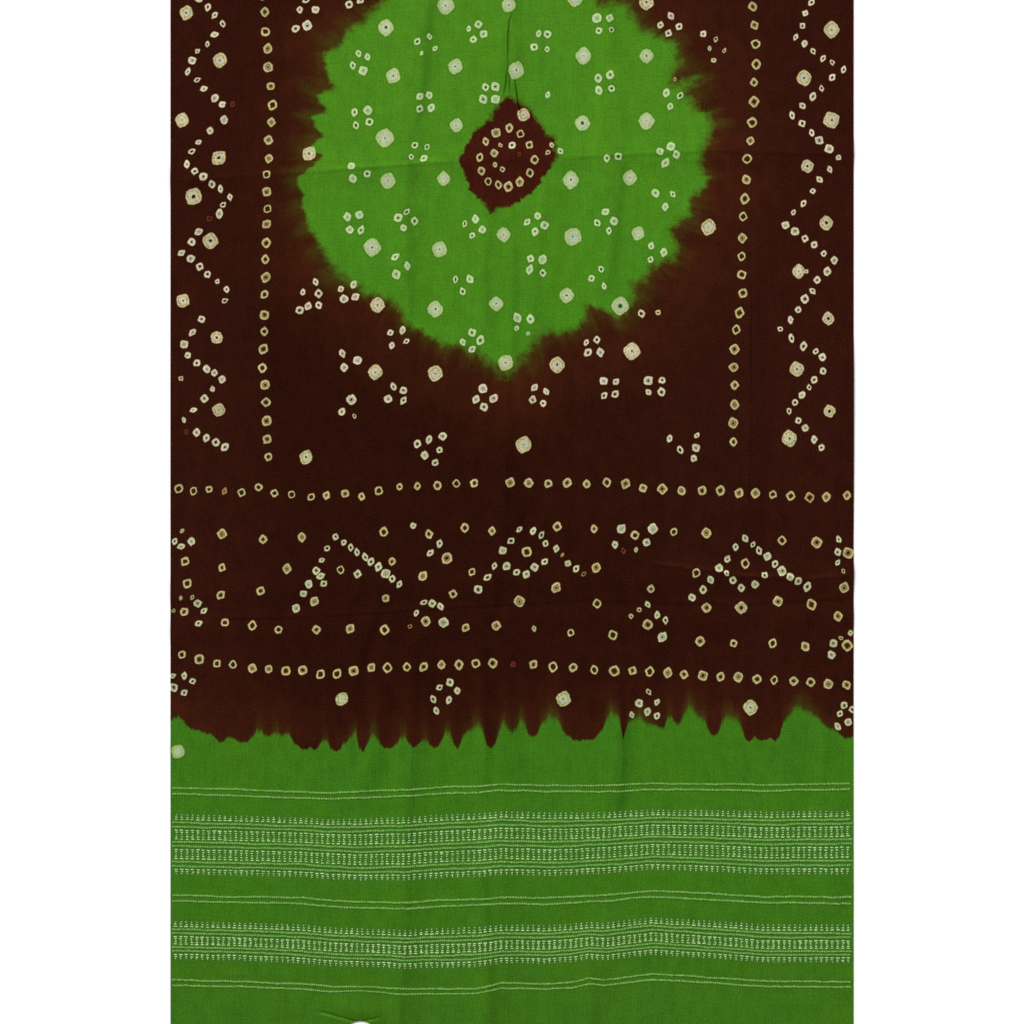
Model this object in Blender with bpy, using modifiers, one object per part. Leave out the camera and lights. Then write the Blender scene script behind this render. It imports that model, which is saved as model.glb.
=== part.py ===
"""A cut length of bandhani cloth, lying face up on a surface.

One sheet of tie-dyed wool: brown ground with a green medallion, and a green
end with woven bands. X is across the cloth, +Y is towards the medallion end,
+Z is up. The origin is on the surface, under the middle of the cloth. Between
its folds the cloth lies flat on the surface, at z = 0.
"""

import bpy
import numpy as np

MM = 0.001

# Driving dimensions, in millimetres.
CLOTH_WIDTH = 650.0
CLOTH_LENGTH = 1000.0
CLOTH_THICKNESS = 1.2
CELL_ACROSS = 12.5
CELL_ALONG = 15.0
FOLD_FADE = 40.0
SETTLE = 0.15

# A fold swells and sinks along its length: the share of its height, and two lengths in mm.
SWELL_SHARE = 0.22
SWELL_LENGTHS = (170.0, 95.0)

# The green end, and the green medallion near the other end.
GREEN_END_LENGTH = 285.0
MEDALLION_CENTRE = (-7.0, 340.0)
MEDALLION_RADIUS = 195.0

# The loose end is drawn in a little where it has been caught, and lifts there.
CATCH_X = -144.0
CATCH_DEPTH = 16.5
CATCH_HALF_WIDTH = 31.0
CATCH_REACH = 60.0

# A row for each fold, in millimetres: where its line starts and ends, how far the middle of
# the line bows to the left of its direction, how high it stands and how far each side reaches.
FOLDS = (
    # name,              x0,     y0,     x1,     y1,   bow, height, reach
    ("cross_crease",   -345.0,  313.0,  345.0,  342.0,   9.0,   2.6,  22.0),
    ("lower_crease_up", -345.0, -78.0,  345.0,  -66.0,   5.0,   2.2,  20.0),
    ("lower_crease_down", -345.0, -116.0, 345.0, -100.0,  5.0,   2.0,  20.0),
    ("pinched_crease",  120.0,  -50.0,  345.0,  -54.0,  -7.0,   2.4,  15.0),
    ("medallion_left",  -78.0,  520.0,  -95.0,  180.0, -14.0,   3.0,  24.0),
    ("medallion_inner", -34.0,  460.0,  -27.0,  150.0,   6.0,   2.2,  18.0),
    ("medallion_right",  36.0,  350.0,   24.0,  150.0,   4.0,   2.6,  20.0),
    ("medallion_far",   108.0,  520.0,   86.0,  190.0,  -6.0,   2.6,  24.0),
    ("tuck",             -4.0,  525.0,    3.0,  395.0,   0.0,   4.2,  13.0),
    ("middle_upper",     -2.0,  140.0,   -8.0,  -80.0,   3.0,   3.2,  22.0),
    ("middle_lower",    -14.0,  -90.0,  -24.0, -520.0,   7.0,   4.4,  30.0),
    ("left_rise",      -112.0,  -40.0, -150.0, -290.0,   8.0,   3.2,  22.0),
    ("left_long",       -86.0,  -90.0, -102.0, -520.0,  -5.0,   3.6,  24.0),
    ("left_edge",      -300.0,  230.0, -298.0,  -30.0,   4.0,   2.6,  20.0),
    ("left_column",    -226.0,  250.0, -230.0,   80.0,   0.0,   2.0,  20.0),
    ("right_column",    231.0,  260.0,  227.0,  -40.0,   0.0,   3.0,  18.0),
    ("right_middle",    126.0,   40.0,  122.0, -190.0,   5.0,   2.8,  24.0),
    ("right_inner",      90.0,   10.0,   96.0, -290.0,   8.0,   2.6,  22.0),
    ("right_lower",     262.0,  -70.0,  252.0, -330.0,   4.0,   3.0,  24.0),
    ("right_edge",      318.0,  180.0,  308.0,  -40.0,   3.0,   2.4,  18.0),
    ("right_corner",    298.0, -190.0,  306.0, -400.0,   0.0,   2.4,  22.0),
    ("right_hem",        84.0, -360.0,   78.0, -520.0,   0.0,   2.6,  22.0),
    ("caught_lip",     -192.0, -474.0, -100.0, -481.0,   4.0,   5.5,  16.0),
)


def smooth_step(value):
    """Goes from 0 to 1 as value does, with no corner at either end."""
    value = np.clip(value, 0.0, 1.0)
    return value * value * (3.0 - 2.0 * value)


def swell(along, phase):
    """The uneven height of a fold along its line, about 1."""
    long_wave, short_wave = (np.sin(2.0 * np.pi * along / length + phase) for length in SWELL_LENGTHS)
    return 1.0 + SWELL_SHARE * (0.65 * long_wave + 0.35 * short_wave)


def fold_height(x, y, fold):
    """How high one fold lifts the cloth at (x, y), in millimetres."""
    _, x0, y0, x1, y1, bow, height, reach = fold
    length = np.hypot(x1 - x0, y1 - y0)
    ahead = ((x1 - x0) / length, (y1 - y0) / length)
    left = (-ahead[1], ahead[0])
    along = (x - x0) * ahead[0] + (y - y0) * ahead[1]
    aside = (x - x0) * left[0] + (y - y0) * left[1]
    share = np.clip(along / length, 0.0, 1.0)
    aside = aside - bow * 4.0 * share * (1.0 - share)
    across = 0.5 + 0.5 * np.cos(np.pi * np.clip(aside / reach, -1.0, 1.0))
    ends = smooth_step(along / FOLD_FADE) * smooth_step((length - along) / FOLD_FADE)
    return height * across * ends * swell(along, phase=x0)


def cloth_height(x, y):
    """How high the underside lies above the surface at (x, y), in millimetres.

    The foot of each fold settles flat under the cloth's own weight.
    """
    lifted = sum(fold_height(x, y, fold) for fold in FOLDS)
    return np.maximum(lifted - SETTLE, 0.0)


def caught_shift(x, y):
    """How far the caught end draws the cloth up at (x, y), in millimetres."""
    aside = np.clip((x - CATCH_X) / CATCH_HALF_WIDTH, -1.0, 1.0)
    depth = CATCH_DEPTH * (0.5 + 0.5 * np.cos(np.pi * aside))
    from_end = (y + CLOTH_LENGTH / 2) / CATCH_REACH
    return depth * (1.0 - smooth_step(from_end))


def dyed_wool(name, colour):
    """Woven wool of one dye colour, given in linear red, green and blue."""
    material = bpy.data.materials.new(name)
    material.use_nodes = True
    shader = material.node_tree.nodes["Principled BSDF"]
    shader.inputs["Base Color"].default_value = (*colour, 1.0)
    shader.inputs["Roughness"].default_value = 0.9
    shader.inputs["Metallic"].default_value = 0.0
    material.diffuse_color = (*colour, 1.0)
    return material


def is_green(x, y):
    """Whether the ground at (x, y), in millimetres, is dyed green."""
    in_end = y < GREEN_END_LENGTH - CLOTH_LENGTH / 2
    from_centre = np.hypot(x - MEDALLION_CENTRE[0], y - MEDALLION_CENTRE[1])
    return in_end or from_centre < MEDALLION_RADIUS


def make_cloth(collection):
    """The sheet: a grid laid out flat, raised along its folds and thickened upwards."""
    bpy.ops.mesh.primitive_grid_add(
        x_subdivisions=round(CLOTH_WIDTH / CELL_ACROSS),
        y_subdivisions=round(CLOTH_LENGTH / CELL_ALONG),
        size=1.0,
    )
    cloth = bpy.context.active_object
    cloth.name = "cloth"
    cloth.data.name = "cloth"
    points = np.empty(len(cloth.data.vertices) * 3)
    cloth.data.vertices.foreach_get("co", points)
    points = points.reshape(-1, 3)
    x = points[:, 0] * CLOTH_WIDTH
    y = points[:, 1] * CLOTH_LENGTH
    y = y + caught_shift(x, y)
    z = cloth_height(x, y)
    placed = np.stack([x, y, z], axis=1) * MM
    cloth.data.vertices.foreach_set("co", placed.ravel())
    cloth.data.update()

    cloth.data.materials.append(dyed_wool("brown_dyed_wool", (0.030, 0.008, 0.006)))
    cloth.data.materials.append(dyed_wool("green_dyed_wool", (0.050, 0.160, 0.012)))
    for face in cloth.data.polygons:
        face.material_index = int(is_green(face.center.x / MM, face.center.y / MM))
    cloth.data.shade_smooth()

    wall = cloth.modifiers.new("thickness", "SOLIDIFY")
    wall.thickness = CLOTH_THICKNESS * MM
    wall.offset = 1.0
    wall.use_rim = True

    for other in list(cloth.users_collection):
        other.objects.unlink(cloth)
    collection.objects.link(cloth)
    return cloth


def main():
    for old in list(bpy.data.objects):
        bpy.data.objects.remove(old)
    collection = bpy.data.collections.new("bandhani_cloth")
    bpy.context.scene.collection.children.link(collection)
    make_cloth(collection)


main()
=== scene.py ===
# %% [markdown]
# # A length of bandhani cloth
# Bandhani is tie-dyed cloth. Pinches of the cloth are tied tight with thread, the cloth is dyed,
# and each pinch opens into a small pale ring. This piece is fine wool with a brown ground, a green
# medallion and a green end with woven bands. It lies face up, and the camera is straight above it.

import math

import bpy
import numpy as np
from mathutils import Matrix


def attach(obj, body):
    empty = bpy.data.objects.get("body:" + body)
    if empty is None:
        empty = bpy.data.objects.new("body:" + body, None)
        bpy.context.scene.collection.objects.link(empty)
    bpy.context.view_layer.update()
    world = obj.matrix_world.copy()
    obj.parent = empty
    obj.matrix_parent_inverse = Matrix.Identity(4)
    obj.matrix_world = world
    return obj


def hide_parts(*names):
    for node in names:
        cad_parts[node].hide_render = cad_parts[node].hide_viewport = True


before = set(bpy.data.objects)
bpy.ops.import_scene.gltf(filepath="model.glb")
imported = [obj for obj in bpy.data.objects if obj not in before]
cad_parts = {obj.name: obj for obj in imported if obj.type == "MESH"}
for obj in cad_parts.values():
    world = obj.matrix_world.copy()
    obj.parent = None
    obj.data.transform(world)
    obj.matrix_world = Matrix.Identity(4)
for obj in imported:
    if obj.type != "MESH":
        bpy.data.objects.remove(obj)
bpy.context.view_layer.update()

# %% [markdown]
# Every size here is in millimetres, as a maker would measure the cloth, and MM turns it into metres
# at the last moment. X runs across the cloth and +Y towards the medallion end. The origin is on the
# surface under the middle of the cloth.

# %% Sizes of the cloth
MM = 0.001
CLOTH_WIDTH = 650.0
CLOTH_LENGTH = 1000.0
CLOTH_THICKNESS = 1.2
VIEW_HEIGHT = 974.5
print("the cloth is", CLOTH_WIDTH, "by", CLOTH_LENGTH, "mm, and", VIEW_HEIGHT, "mm of it show")

# %% [markdown]
# ## Camera, floor and light
# The cloth is seen from straight above, so a long lens on a high camera gives almost no
# perspective. The lens and the sensor fix how high it stands: the picture is 974.5 mm high.

# %% Camera
LENS = 100.0
SENSOR = 36.0
camera_data = bpy.data.cameras.new("view_from_above")
camera_data.lens = LENS
camera_data.sensor_width = SENSOR
camera_data.clip_end = 20.0
camera = bpy.data.objects.new("view_from_above", camera_data)
camera.location = (0.0, 0.0, (VIEW_HEIGHT * LENS / SENSOR + CLOTH_THICKNESS) * MM)
bpy.context.scene.collection.objects.link(camera)
bpy.context.scene.camera = camera
bpy.context.scene.view_settings.view_transform = "Standard"
print("the camera is", round(camera.location.z, 3), "m up")

# %% [markdown]
# Colours are written as sRGB hex values, as a dyer's card gives them. Blender's shaders work in
# linear light, so one function turns them over. Another starts a material: paper, wool and yarn are
# each as rough and as dull all over, so those two numbers stand on the shader's own sockets.

# %% Colours and new materials
def linear(code):
    """The linear red, green, blue and alpha of an sRGB colour such as #49811c."""
    shares = [int(code[at : at + 2], 16) / 255.0 for at in (1, 3, 5)]
    return [s / 12.92 if s <= 0.04045 else ((s + 0.055) / 1.055) ** 2.4 for s in shares] + [1.0]


def start_material(name, roughness, gloss):
    """A new material and its shader, with one roughness and one gloss all over."""
    material = bpy.data.materials.new(name)
    material.use_nodes = True
    shader = material.node_tree.nodes["Principled BSDF"]
    shader.inputs["Roughness"].default_value = roughness
    shader.inputs["Specular IOR Level"].default_value = gloss
    return material, shader


print("half as bright on the card, #808080, is", round(linear("#808080")[0], 3), "in linear light")

# %% [markdown]
# The floor is a plain near-white sheet of studio paper. A plane is enough for it, because it isn't
# part of the object. It lies a hair under the cloth so that the two faces don't fight.

# %% Floor
FLOOR_SIZE = 12.0
FLOOR_GAP = 0.2
bpy.ops.object.select_all(action="DESELECT")
bpy.ops.mesh.primitive_plane_add(size=FLOOR_SIZE, location=(0.0, 0.0, -FLOOR_GAP * MM))
floor = bpy.context.active_object
floor.name = "studio_paper"
paper, paper_shader = start_material("matt_white_paper", 0.9, 0.1)
paper_shader.inputs["Base Color"].default_value = linear("#f6f6f6")
floor.data.materials.append(paper)
print("the floor is", FLOOR_SIZE, "m wide and lies", FLOOR_GAP, "mm under the cloth")

# %% [markdown]
# Soft light from the far end of the cloth, a little from the left, shows each fold as a light flank
# and a dark one. A sun with a wide angle does this evenly over a metre of cloth, and a pale world
# fills the shadows.

# %% Light
KEY_RISE = 50.0
KEY_TURN = 32.0
KEY_SPREAD = 24.0
KEY_STRENGTH = 2.75
WORLD_STRENGTH = 0.46
key_data = bpy.data.lights.new("soft_key", "SUN")
key_data.energy = KEY_STRENGTH
key_data.angle = math.radians(KEY_SPREAD)
key = bpy.data.objects.new("soft_key", key_data)
key.rotation_euler = (math.radians(-(90.0 - KEY_RISE)), 0.0, math.radians(KEY_TURN))
bpy.context.scene.collection.objects.link(key)

world = bpy.data.worlds.new("pale_studio")
world.use_nodes = True
sky = world.node_tree.nodes["Background"]
sky.inputs["Color"].default_value = linear("#ffffff")
sky.inputs["Strength"].default_value = WORLD_STRENGTH
bpy.context.scene.world = world
print("the sun stands", KEY_RISE, "degrees above the cloth")

# %% [markdown]
# ## How the sheet lies
# Folds decide how light falls on cloth, so they come first. The large ones are the same as in the
# solid that this sheet replaces: each row is a line on the cloth, how far its middle bows, how high
# it stands and how far each side reaches. A fold swells and sinks along its length, and its foot
# settles flat.

# %% Large folds
FOLD_FADE = 40.0
SETTLE = 0.15
SWELL_SHARE = 0.22
SWELL_WAVES = ((170.0, 0.65), (95.0, 0.35))
FOLDS = (
    # name, from x, y, to x, y, bow, height, reach
    ("cross_crease", -345, 313, 345, 342, 9, 2.6, 22),
    ("lower_crease_up", -345, -78, 345, -66, 5, 2.2, 20),
    ("lower_crease_down", -345, -116, 345, -100, 5, 2, 20),
    ("pinched_crease", 120, -50, 345, -54, -7, 2.4, 15),
    ("medallion_left", -78, 520, -95, 180, -14, 3, 24),
    ("medallion_inner", -34, 460, -27, 150, 6, 2.2, 18),
    ("medallion_right", 36, 350, 24, 150, 4, 2.6, 20),
    ("medallion_far", 108, 520, 86, 190, -6, 2.6, 24),
    ("tuck", -4, 525, 3, 395, 0, 4.2, 13),
    ("middle_upper", -2, 140, -8, -80, 3, 3.2, 22),
    ("middle_lower", -14, -90, -24, -520, 7, 4.4, 30),
    ("left_rise", -112, -40, -150, -290, 8, 3.2, 22),
    ("left_long", -86, -90, -102, -520, -5, 3.6, 24),
    ("left_edge", -300, 230, -298, -30, 4, 2.6, 20),
    ("left_column", -226, 250, -230, 80, 0, 2, 20),
    ("right_column", 231, 260, 227, -40, 0, 3, 18),
    ("right_middle", 126, 40, 122, -190, 5, 2.8, 24),
    ("right_inner", 90, 10, 96, -290, 8, 2.6, 22),
    ("right_lower", 262, -70, 252, -330, 4, 3, 24),
    ("right_edge", 318, 180, 308, -40, 3, 2.4, 18),
    ("right_corner", 298, -190, 306, -400, 0, 2.4, 22),
    ("right_hem", 84, -360, 78, -520, 0, 2.6, 22),
    ("caught_lip", -192, -474, -100, -481, 4, 5.5, 16),
)


def smooth_step(value):
    """Goes from 0 to 1 as value does, with no corner at either end."""
    value = np.clip(value, 0.0, 1.0)
    return value * value * (3.0 - 2.0 * value)


def swell(along, phase):
    """The uneven height of a fold along its line, about 1."""
    waves = [weight * np.sin(2.0 * np.pi * along / length + phase)
             for length, weight in SWELL_WAVES]
    return 1.0 + SWELL_SHARE * sum(waves)


def fold_height(x, y, fold):
    """How high one fold lifts the cloth at (x, y), in millimetres."""
    _, x0, y0, x1, y1, bow, height, reach = fold
    length = np.hypot(x1 - x0, y1 - y0)
    ahead = ((x1 - x0) / length, (y1 - y0) / length)
    along = (x - x0) * ahead[0] + (y - y0) * ahead[1]
    aside = (y - y0) * ahead[0] - (x - x0) * ahead[1]
    share = np.clip(along / length, 0.0, 1.0)
    aside = aside - bow * 4.0 * share * (1.0 - share)
    across = 0.5 + 0.5 * np.cos(np.pi * np.clip(aside / reach, -1.0, 1.0))
    ends = smooth_step(along / FOLD_FADE) * smooth_step((length - along) / FOLD_FADE)
    return height * across * ends * swell(along, phase=x0)


print(len(FOLDS), "large folds")

# %% [markdown]
# The loose end was caught when the cloth was laid down: a short stretch of its edge is drawn in and
# lifts into a lip. This moves the cloth along Y, so it is kept apart from the heights.

# %% Caught end
CATCH_X = -144.0
CATCH_DEPTH = 16.5
CATCH_HALF_WIDTH = 31.0
CATCH_REACH = 60.0


def caught_shift(x, y):
    """How far the caught end draws the cloth up at (x, y), in millimetres."""
    aside = np.clip((x - CATCH_X) / CATCH_HALF_WIDTH, -1.0, 1.0)
    depth = CATCH_DEPTH * (0.5 + 0.5 * np.cos(np.pi * aside))
    from_end = (y + CLOTH_LENGTH / 2) / CATCH_REACH
    return depth * (1.0 - smooth_step(from_end))


print("the loose end is drawn in by", CATCH_DEPTH, "mm over", 2.0 * CATCH_HALF_WIDTH, "mm")

# %% [markdown]
# ## Sharp creases
# A folded stole keeps the sharp lines of its storage folds. Each is a low ridge with a gentle side
# and a steep one, along a line of a few points. Two run right across, where the cloth was folded in
# three, and a third runs beside one of them on the right. The rest run along the cloth, one of them
# aslant. They are drawn in millimetres, from how the light breaks.

# %% Crease table
CREASES = (
    # height, reach on the left of its direction, reach on the right, points of its line
    (0.55, 2.6, 3.2, ((-330, 315), (-192, 324), (-52, 334), (46, 337), (184, 344), (290, 341),
                      (330, 340))),
    (0.35, 6, 3, ((-292, -101), (-221, -100), (-126, -95), (-73, -91), (-16, -88), (74, -83),
                      (117, -85), (212, -87), (330, -81))),
    (0.50, 3, 3.5, ((120, -48), (174, -54), (222, -61), (284, -64), (330, -59))),
    (0.45, 3, 8, ((228, 235), (228, 120), (227, 21), (225, -20))),
    (0.60, 3, 8, ((1, 478), (-4, 466), (-6, 417), (-9, 402))),
    (0.60, 3, 8, ((-2, 416), (5, 389), (8, 374))),
    (0.45, 5, 14, ((-316, 200), (-316, 90), (-315, -17))),
    (0.40, 5, 12, ((-228, 205), (-229, 105))),
    (0.50, 5, 14, ((-97, 350), (-96, 310), (-97, 240), (-95, 180))),
    (0.55, 5, 14, ((-76, 505), (-83, 400), (-92, 358))),
    (0.40, 4, 12, ((-37, 450), (-38, 400))),
    (0.45, 4, 12, ((-24, 262), (-24, 175))),
    (0.55, 4, 14, ((3, 262), (4, 143))),
    (0.50, 4, 14, ((36, 318), (27, 240), (22, 170))),
    (0.50, 4, 14, ((109, 342), (100, 270), (93, 205))),
    (0.50, 5, 14, ((96, 505), (97, 422))),
    (0.60, 5, 16, ((-2, 122), (-5, -20), (-14, -88), (-26, -119), (-21, -214), (-24, -283))),
    (0.50, 5, 12, ((30, 24), (14, 2), (-4, -18))),
    (0.65, 8, 22, ((-26, -335), (-19, -457), (-18, -505))),
    (0.60, 5, 16, ((-116, -29), (-126, -95), (-140, -133), (-149, -176), (-152, -228),
                   (-148, -250))),
    (0.55, 5, 16, ((-90, -109), (-92, -219), (-97, -286), (-100, -428), (-105, -505))),
    (0.85, 5, 14, ((107, -188), (105, -266), (100, -300))),
    (0.40, 5, 12, ((90, -22), (90, -83))),
    (0.40, 5, 12, ((125, 22), (125, -32))),
    (0.45, 5, 12, ((127, -107), (127, -147))),
    (0.45, 5, 12, ((260, -93), (260, -160))),
    (0.45, 5, 12, ((247, -210), (247, -250))),
    (0.45, 5, 12, ((300, -200), (300, -252))),
    (0.50, 6, 14, ((79, -425), (79, -505))),
    (0.45, 5, 14, ((319, 148), (309, 2))),
)
CREASE_LINES = [points for *_, points in CREASES]
CREASE_FADE = 18.0


def nearest_on_line(x, y, points):
    """Where a line of points passes nearest to (x, y), how far left that is, and its length."""
    best = np.full(x.shape, np.inf)
    along, aside = np.zeros(x.shape), np.zeros(x.shape)
    passed = 0.0
    for (x0, y0), (x1, y1) in zip(points, points[1:]):
        length = math.hypot(x1 - x0, y1 - y0)
        ahead = ((x1 - x0) / length, (y1 - y0) / length)
        reach = np.clip((x - x0) * ahead[0] + (y - y0) * ahead[1], 0.0, length)
        apart = np.hypot(x - x0 - reach * ahead[0], y - y0 - reach * ahead[1])
        left = (y - y0) * ahead[0] - (x - x0) * ahead[1]
        closer = apart < best
        best = np.where(closer, apart, best)
        along = np.where(closer, passed + reach, along)
        aside = np.where(closer, np.copysign(apart, left), aside)
        passed += length
    return along, aside, passed


def crease_height(x, y, crease):
    """How high one sharp crease lifts the cloth at (x, y), in millimetres."""
    height, left_reach, right_reach, points = crease
    along, aside, length = nearest_on_line(x, y, points)
    reach = np.where(aside > 0.0, left_reach, right_reach)
    across = 0.5 + 0.5 * np.cos(np.pi * np.clip(aside / reach, -1.0, 1.0))
    ends = smooth_step(along / CREASE_FADE) * smooth_step((length - along) / CREASE_FADE)
    return height * across * ends


print(len(CREASES), "sharp creases")

# %% [markdown]
# The weft, the threads that run across, no longer lies straight at the woven end: the handling of
# the cloth has pulled it up and down. A table gives this at the five groups of woven lines, and the
# cloth between them follows. A row says how far each thread stands above its left end.

# %% Pulled weft
WEFT_AT = (-325, -260, -200, -173, -145, -100, -60, -35, -11, 31, 60, 74, 89, 133, 188, 240, 325)
WEFT_PULL = (
    # where along the cloth, and the pull at each place across
    (500, (0,) * 17),
    (-200, (0,) * 17),
    (-265.5, (0, -1.5, -4, -5, -3.5, -1.5, 1, 1.5, 4, 2.5, 2.5, 2, 2.5, 4, 4, 3, 4.5)),
    (-316, (0, -1.5, -3, -4.5, -5.5, -4, -2, -1, 1.5, -0.5, 0, 1, 1.5, 4.5, 3.5, 1.5, 2.5)),
    (-367, (0, -1.5, -2.5, -5, -6.5, -7, -4.5, -4, -1.5, -3, -1.5, -0.5, 0, 4, 1.5, -1.5, -2)),
    (-407, (0, -1.5, -4, -6.5, -7.5, -9, -8, -7, -4, -5, -3, -1, -2, 3, -0.5, -4.5, -4.5)),
    (-447, (0, -1.5, -4, -6.5, -7, -8.5, -9, -8.5, -2.5, -4, -2, 2, 0, 5.5, 2.5, -1.5, -2)),
    (-500, (0,) * 17),
)


def weft_pull(x, y):
    """How far the weft at (x, y) of the flat cloth is pulled up as it lies, in millimetres."""
    pull = np.zeros(np.shape(x))
    for (y1, upper), (y0, lower) in zip(WEFT_PULL, WEFT_PULL[1:]):
        share = np.clip((y - y0) / (y1 - y0), 0.0, 1.0)
        above, below = np.interp(x, WEFT_AT, upper), np.interp(x, WEFT_AT, lower)
        between = share * above + (1.0 - share) * below
        pull = np.where((y <= y1) & (y >= y0), between, pull)
    return pull


def laid(x, y):
    """Where the point (x, y) of the flat cloth lies on the surface, in millimetres."""
    return x, y + weft_pull(x, y) + caught_shift(x, y)


pulls = [pull for _, row in WEFT_PULL for pull in row]
print("the weft is pulled down by up to", -min(pulls), "mm and up by up to", max(pulls), "mm")

# %% [markdown]
# ## Tied dots
# A tie is a pinch of cloth bound with thread. When it opens it leaves a rounded diamond: a pale rim
# where the thread kept the dye out, and a dark point where dye got in at the tip. There are three
# sorts of plain ring here, three of small white dot, one of large dot, and two whose thread
# slipped, which came out rusty or faint. A sort says how large, how white and how strong its dots
# are, and how slim and how turned they may be. Most dots are a little longer along the cloth than
# across it, and lean to the right as the tying hand does. No two pinches are alike, so chance
# varies each dot.

# %% Sorts of tie
SORTS = {
    # sort: radius, radius of its dark middle, whiteness, strength, slimmest shape, most turn
    "ring": (4.7, 1.6, 0.47, 1.0, 0.80, 0.45),
    "wide_ring": (5.5, 1.6, 0.47, 1.0, 0.80, 0.5),
    "heart_ring": (4.7, 1.5, 0.50, 1.0, 0.75, 0.8),
    "white": (4.05, 0.9, 0.92, 1.0, 0.64, 0.8),
    "broad_white": (5.0, 1.0, 0.97, 1.0, 0.75, 0.8),
    "tiny": (2.8, 0.8, 0.72, 0.9, 0.66, 0.8),
    "large": (7.6, 1.25, 0.66, 1.0, 0.85, 0.3),
    "rusty": (2.8, 0.9, 0.30, 0.95, 0.62, 0.8),
    "slipped": (3.0, 1.2, 0.0, 0.45, 0.7, 0.8),
}
LEAN = 78.0
LEAN_PER_MM = 0.06
RADIUS_RANGE = (0.87, 1.13)
MIDDLE_RANGE = (0.4, 1.7)
STRENGTH_RANGE = (0.9, 1.0)
WHITE_SPREAD = 0.03
LINE_SLIP = 0.6
rng = np.random.default_rng(26)
ties = []


def tie(sort, x, y, size=1.0, hole=None):
    """Ties one dot of a sort at (x, y), each a little different from the last."""
    radius, middle, white, strength, slimmest, most_turn = SORTS[sort]
    radius = radius * size * rng.uniform(*RADIUS_RANGE)
    slim = rng.uniform(slimmest, 1.0)
    turn = math.radians(LEAN + LEAN_PER_MM * x) + most_turn * rng.uniform(-1.0, 1.0)
    middle = hole or middle * rng.uniform(*MIDDLE_RANGE)
    white = np.clip(white + rng.normal(0.0, WHITE_SPREAD), 0.0, 1.0)
    strength = strength * rng.uniform(*STRENGTH_RANGE)
    ties.append((x, y, radius, radius * slim, turn, middle, white, strength))


def tie_along(sort, first_size, last_size, count, points):
    """Ties count dots at even steps along a line of points, from its first to its last."""
    points = np.array(points, float)
    steps = np.concatenate([[0.0], np.cumsum(np.hypot(*np.diff(points, axis=0).T))])
    for share in np.linspace(0.0, 1.0, count):
        x = np.interp(share * steps[-1], steps, points[:, 0]) + rng.normal(0.0, LINE_SLIP)
        y = np.interp(share * steps[-1], steps, points[:, 1]) + rng.normal(0.0, LINE_SLIP)
        tie(sort, x, y, first_size + (last_size - first_size) * share)


print(len(SORTS), "sorts of tie")

# %% [markdown]
# Most ties stand in lines. Two columns frame the medallion, two rows close its field below, and
# three temple points stand between the rows, each with a small V inside. A line is a sort, two
# sizes, a count and a few points, so a crooked line stays crooked.

# %% Lines of ties
LINES_OF_TIES = (
    # sort, size of the first tie and of the last, number of ties, points of the line
    ("ring", 1.08, 1.08, 10, ((-236, 493), (-236, 475), (-229, 396), (-232, 336))),
    ("ring", 1.08, 1.08, 6, ((-233, 321), (-233, 272), (-235, 241))),
    ("ring", 1.08, 1.08, 11, ((-235, 223), (-236, 190), (-236, 141), (-232, 52))),
    ("ring", 1.07, 1.07, 12, ((230, 482), (232, 446), (230, 388), (226, 353), (220, 280))),
    ("ring", 1.07, 1.07, 12, ((219, 261), (219, 208), (213, 171), (211, 140), (211, 67))),
    ("ring", 0.93, 0.95, 3, ((-317, 22), (-303, 20), (-289, 21))),
    ("rusty", 1.35, 1.35, 1, ((-273, 20),)),
    ("ring", 0.97, 1.00, 9, ((-258, 18), (-242, 22), (-225, 18), (-193, 14), (-160, 18), (-144, 15),
                             (-127, 20))),
    ("ring", 0.85, 1.00, 5, ((-107, 24), (-36, 27))),
    ("ring", 1.00, 1.08, 13, ((-2, 27), (107, 28), (125, 23), (217, 19))),
    ("ring", 1.05, 1.10, 6, ((232, 18), (284, 13), (317, 16))),
    ("ring", 1.02, 1.05, 19, ((-313, -136), (-283, -144), (-216, -151), (-165, -154), (-133, -148),
                              (-18, -144))),
    ("ring", 1.05, 1.08, 5, ((20, -145), (97, -151))),
    ("ring", 1.08, 1.10, 13, ((114, -151), (167, -154), (235, -159), (318, -164))),
    ("white", 0.85, 1.15, 10, ((-168, -24), (-154, -33), (-107, -68))),
    ("white", 0.85, 1.10, 6, ((-175, -34), (-205, -90))),
    ("white", 0.95, 1.05, 6, ((6, -16), (-32, -73))),
    ("white", 1.05, 1.05, 5, ((-5, -51), (11, -62), (31, -46))),
    ("white", 0.90, 1.25, 9, ((221, -25), (244, -43), (257, -57), (280, -72))),
    ("white", 0.95, 1.10, 6, ((213, -35), (191, -63), (172, -82))),
)
for sort, first_size, last_size, count, points in LINES_OF_TIES:
    tie_along(sort, first_size, last_size, count, points)
print(len(ties), "ties in straight lines")

# %% [markdown]
# Down each side runs a zigzag of small white ties. Its table gives each bend and how many ties lead
# to it, none where one has slipped. In the pockets of the zigzag stands one large tie each.

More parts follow.
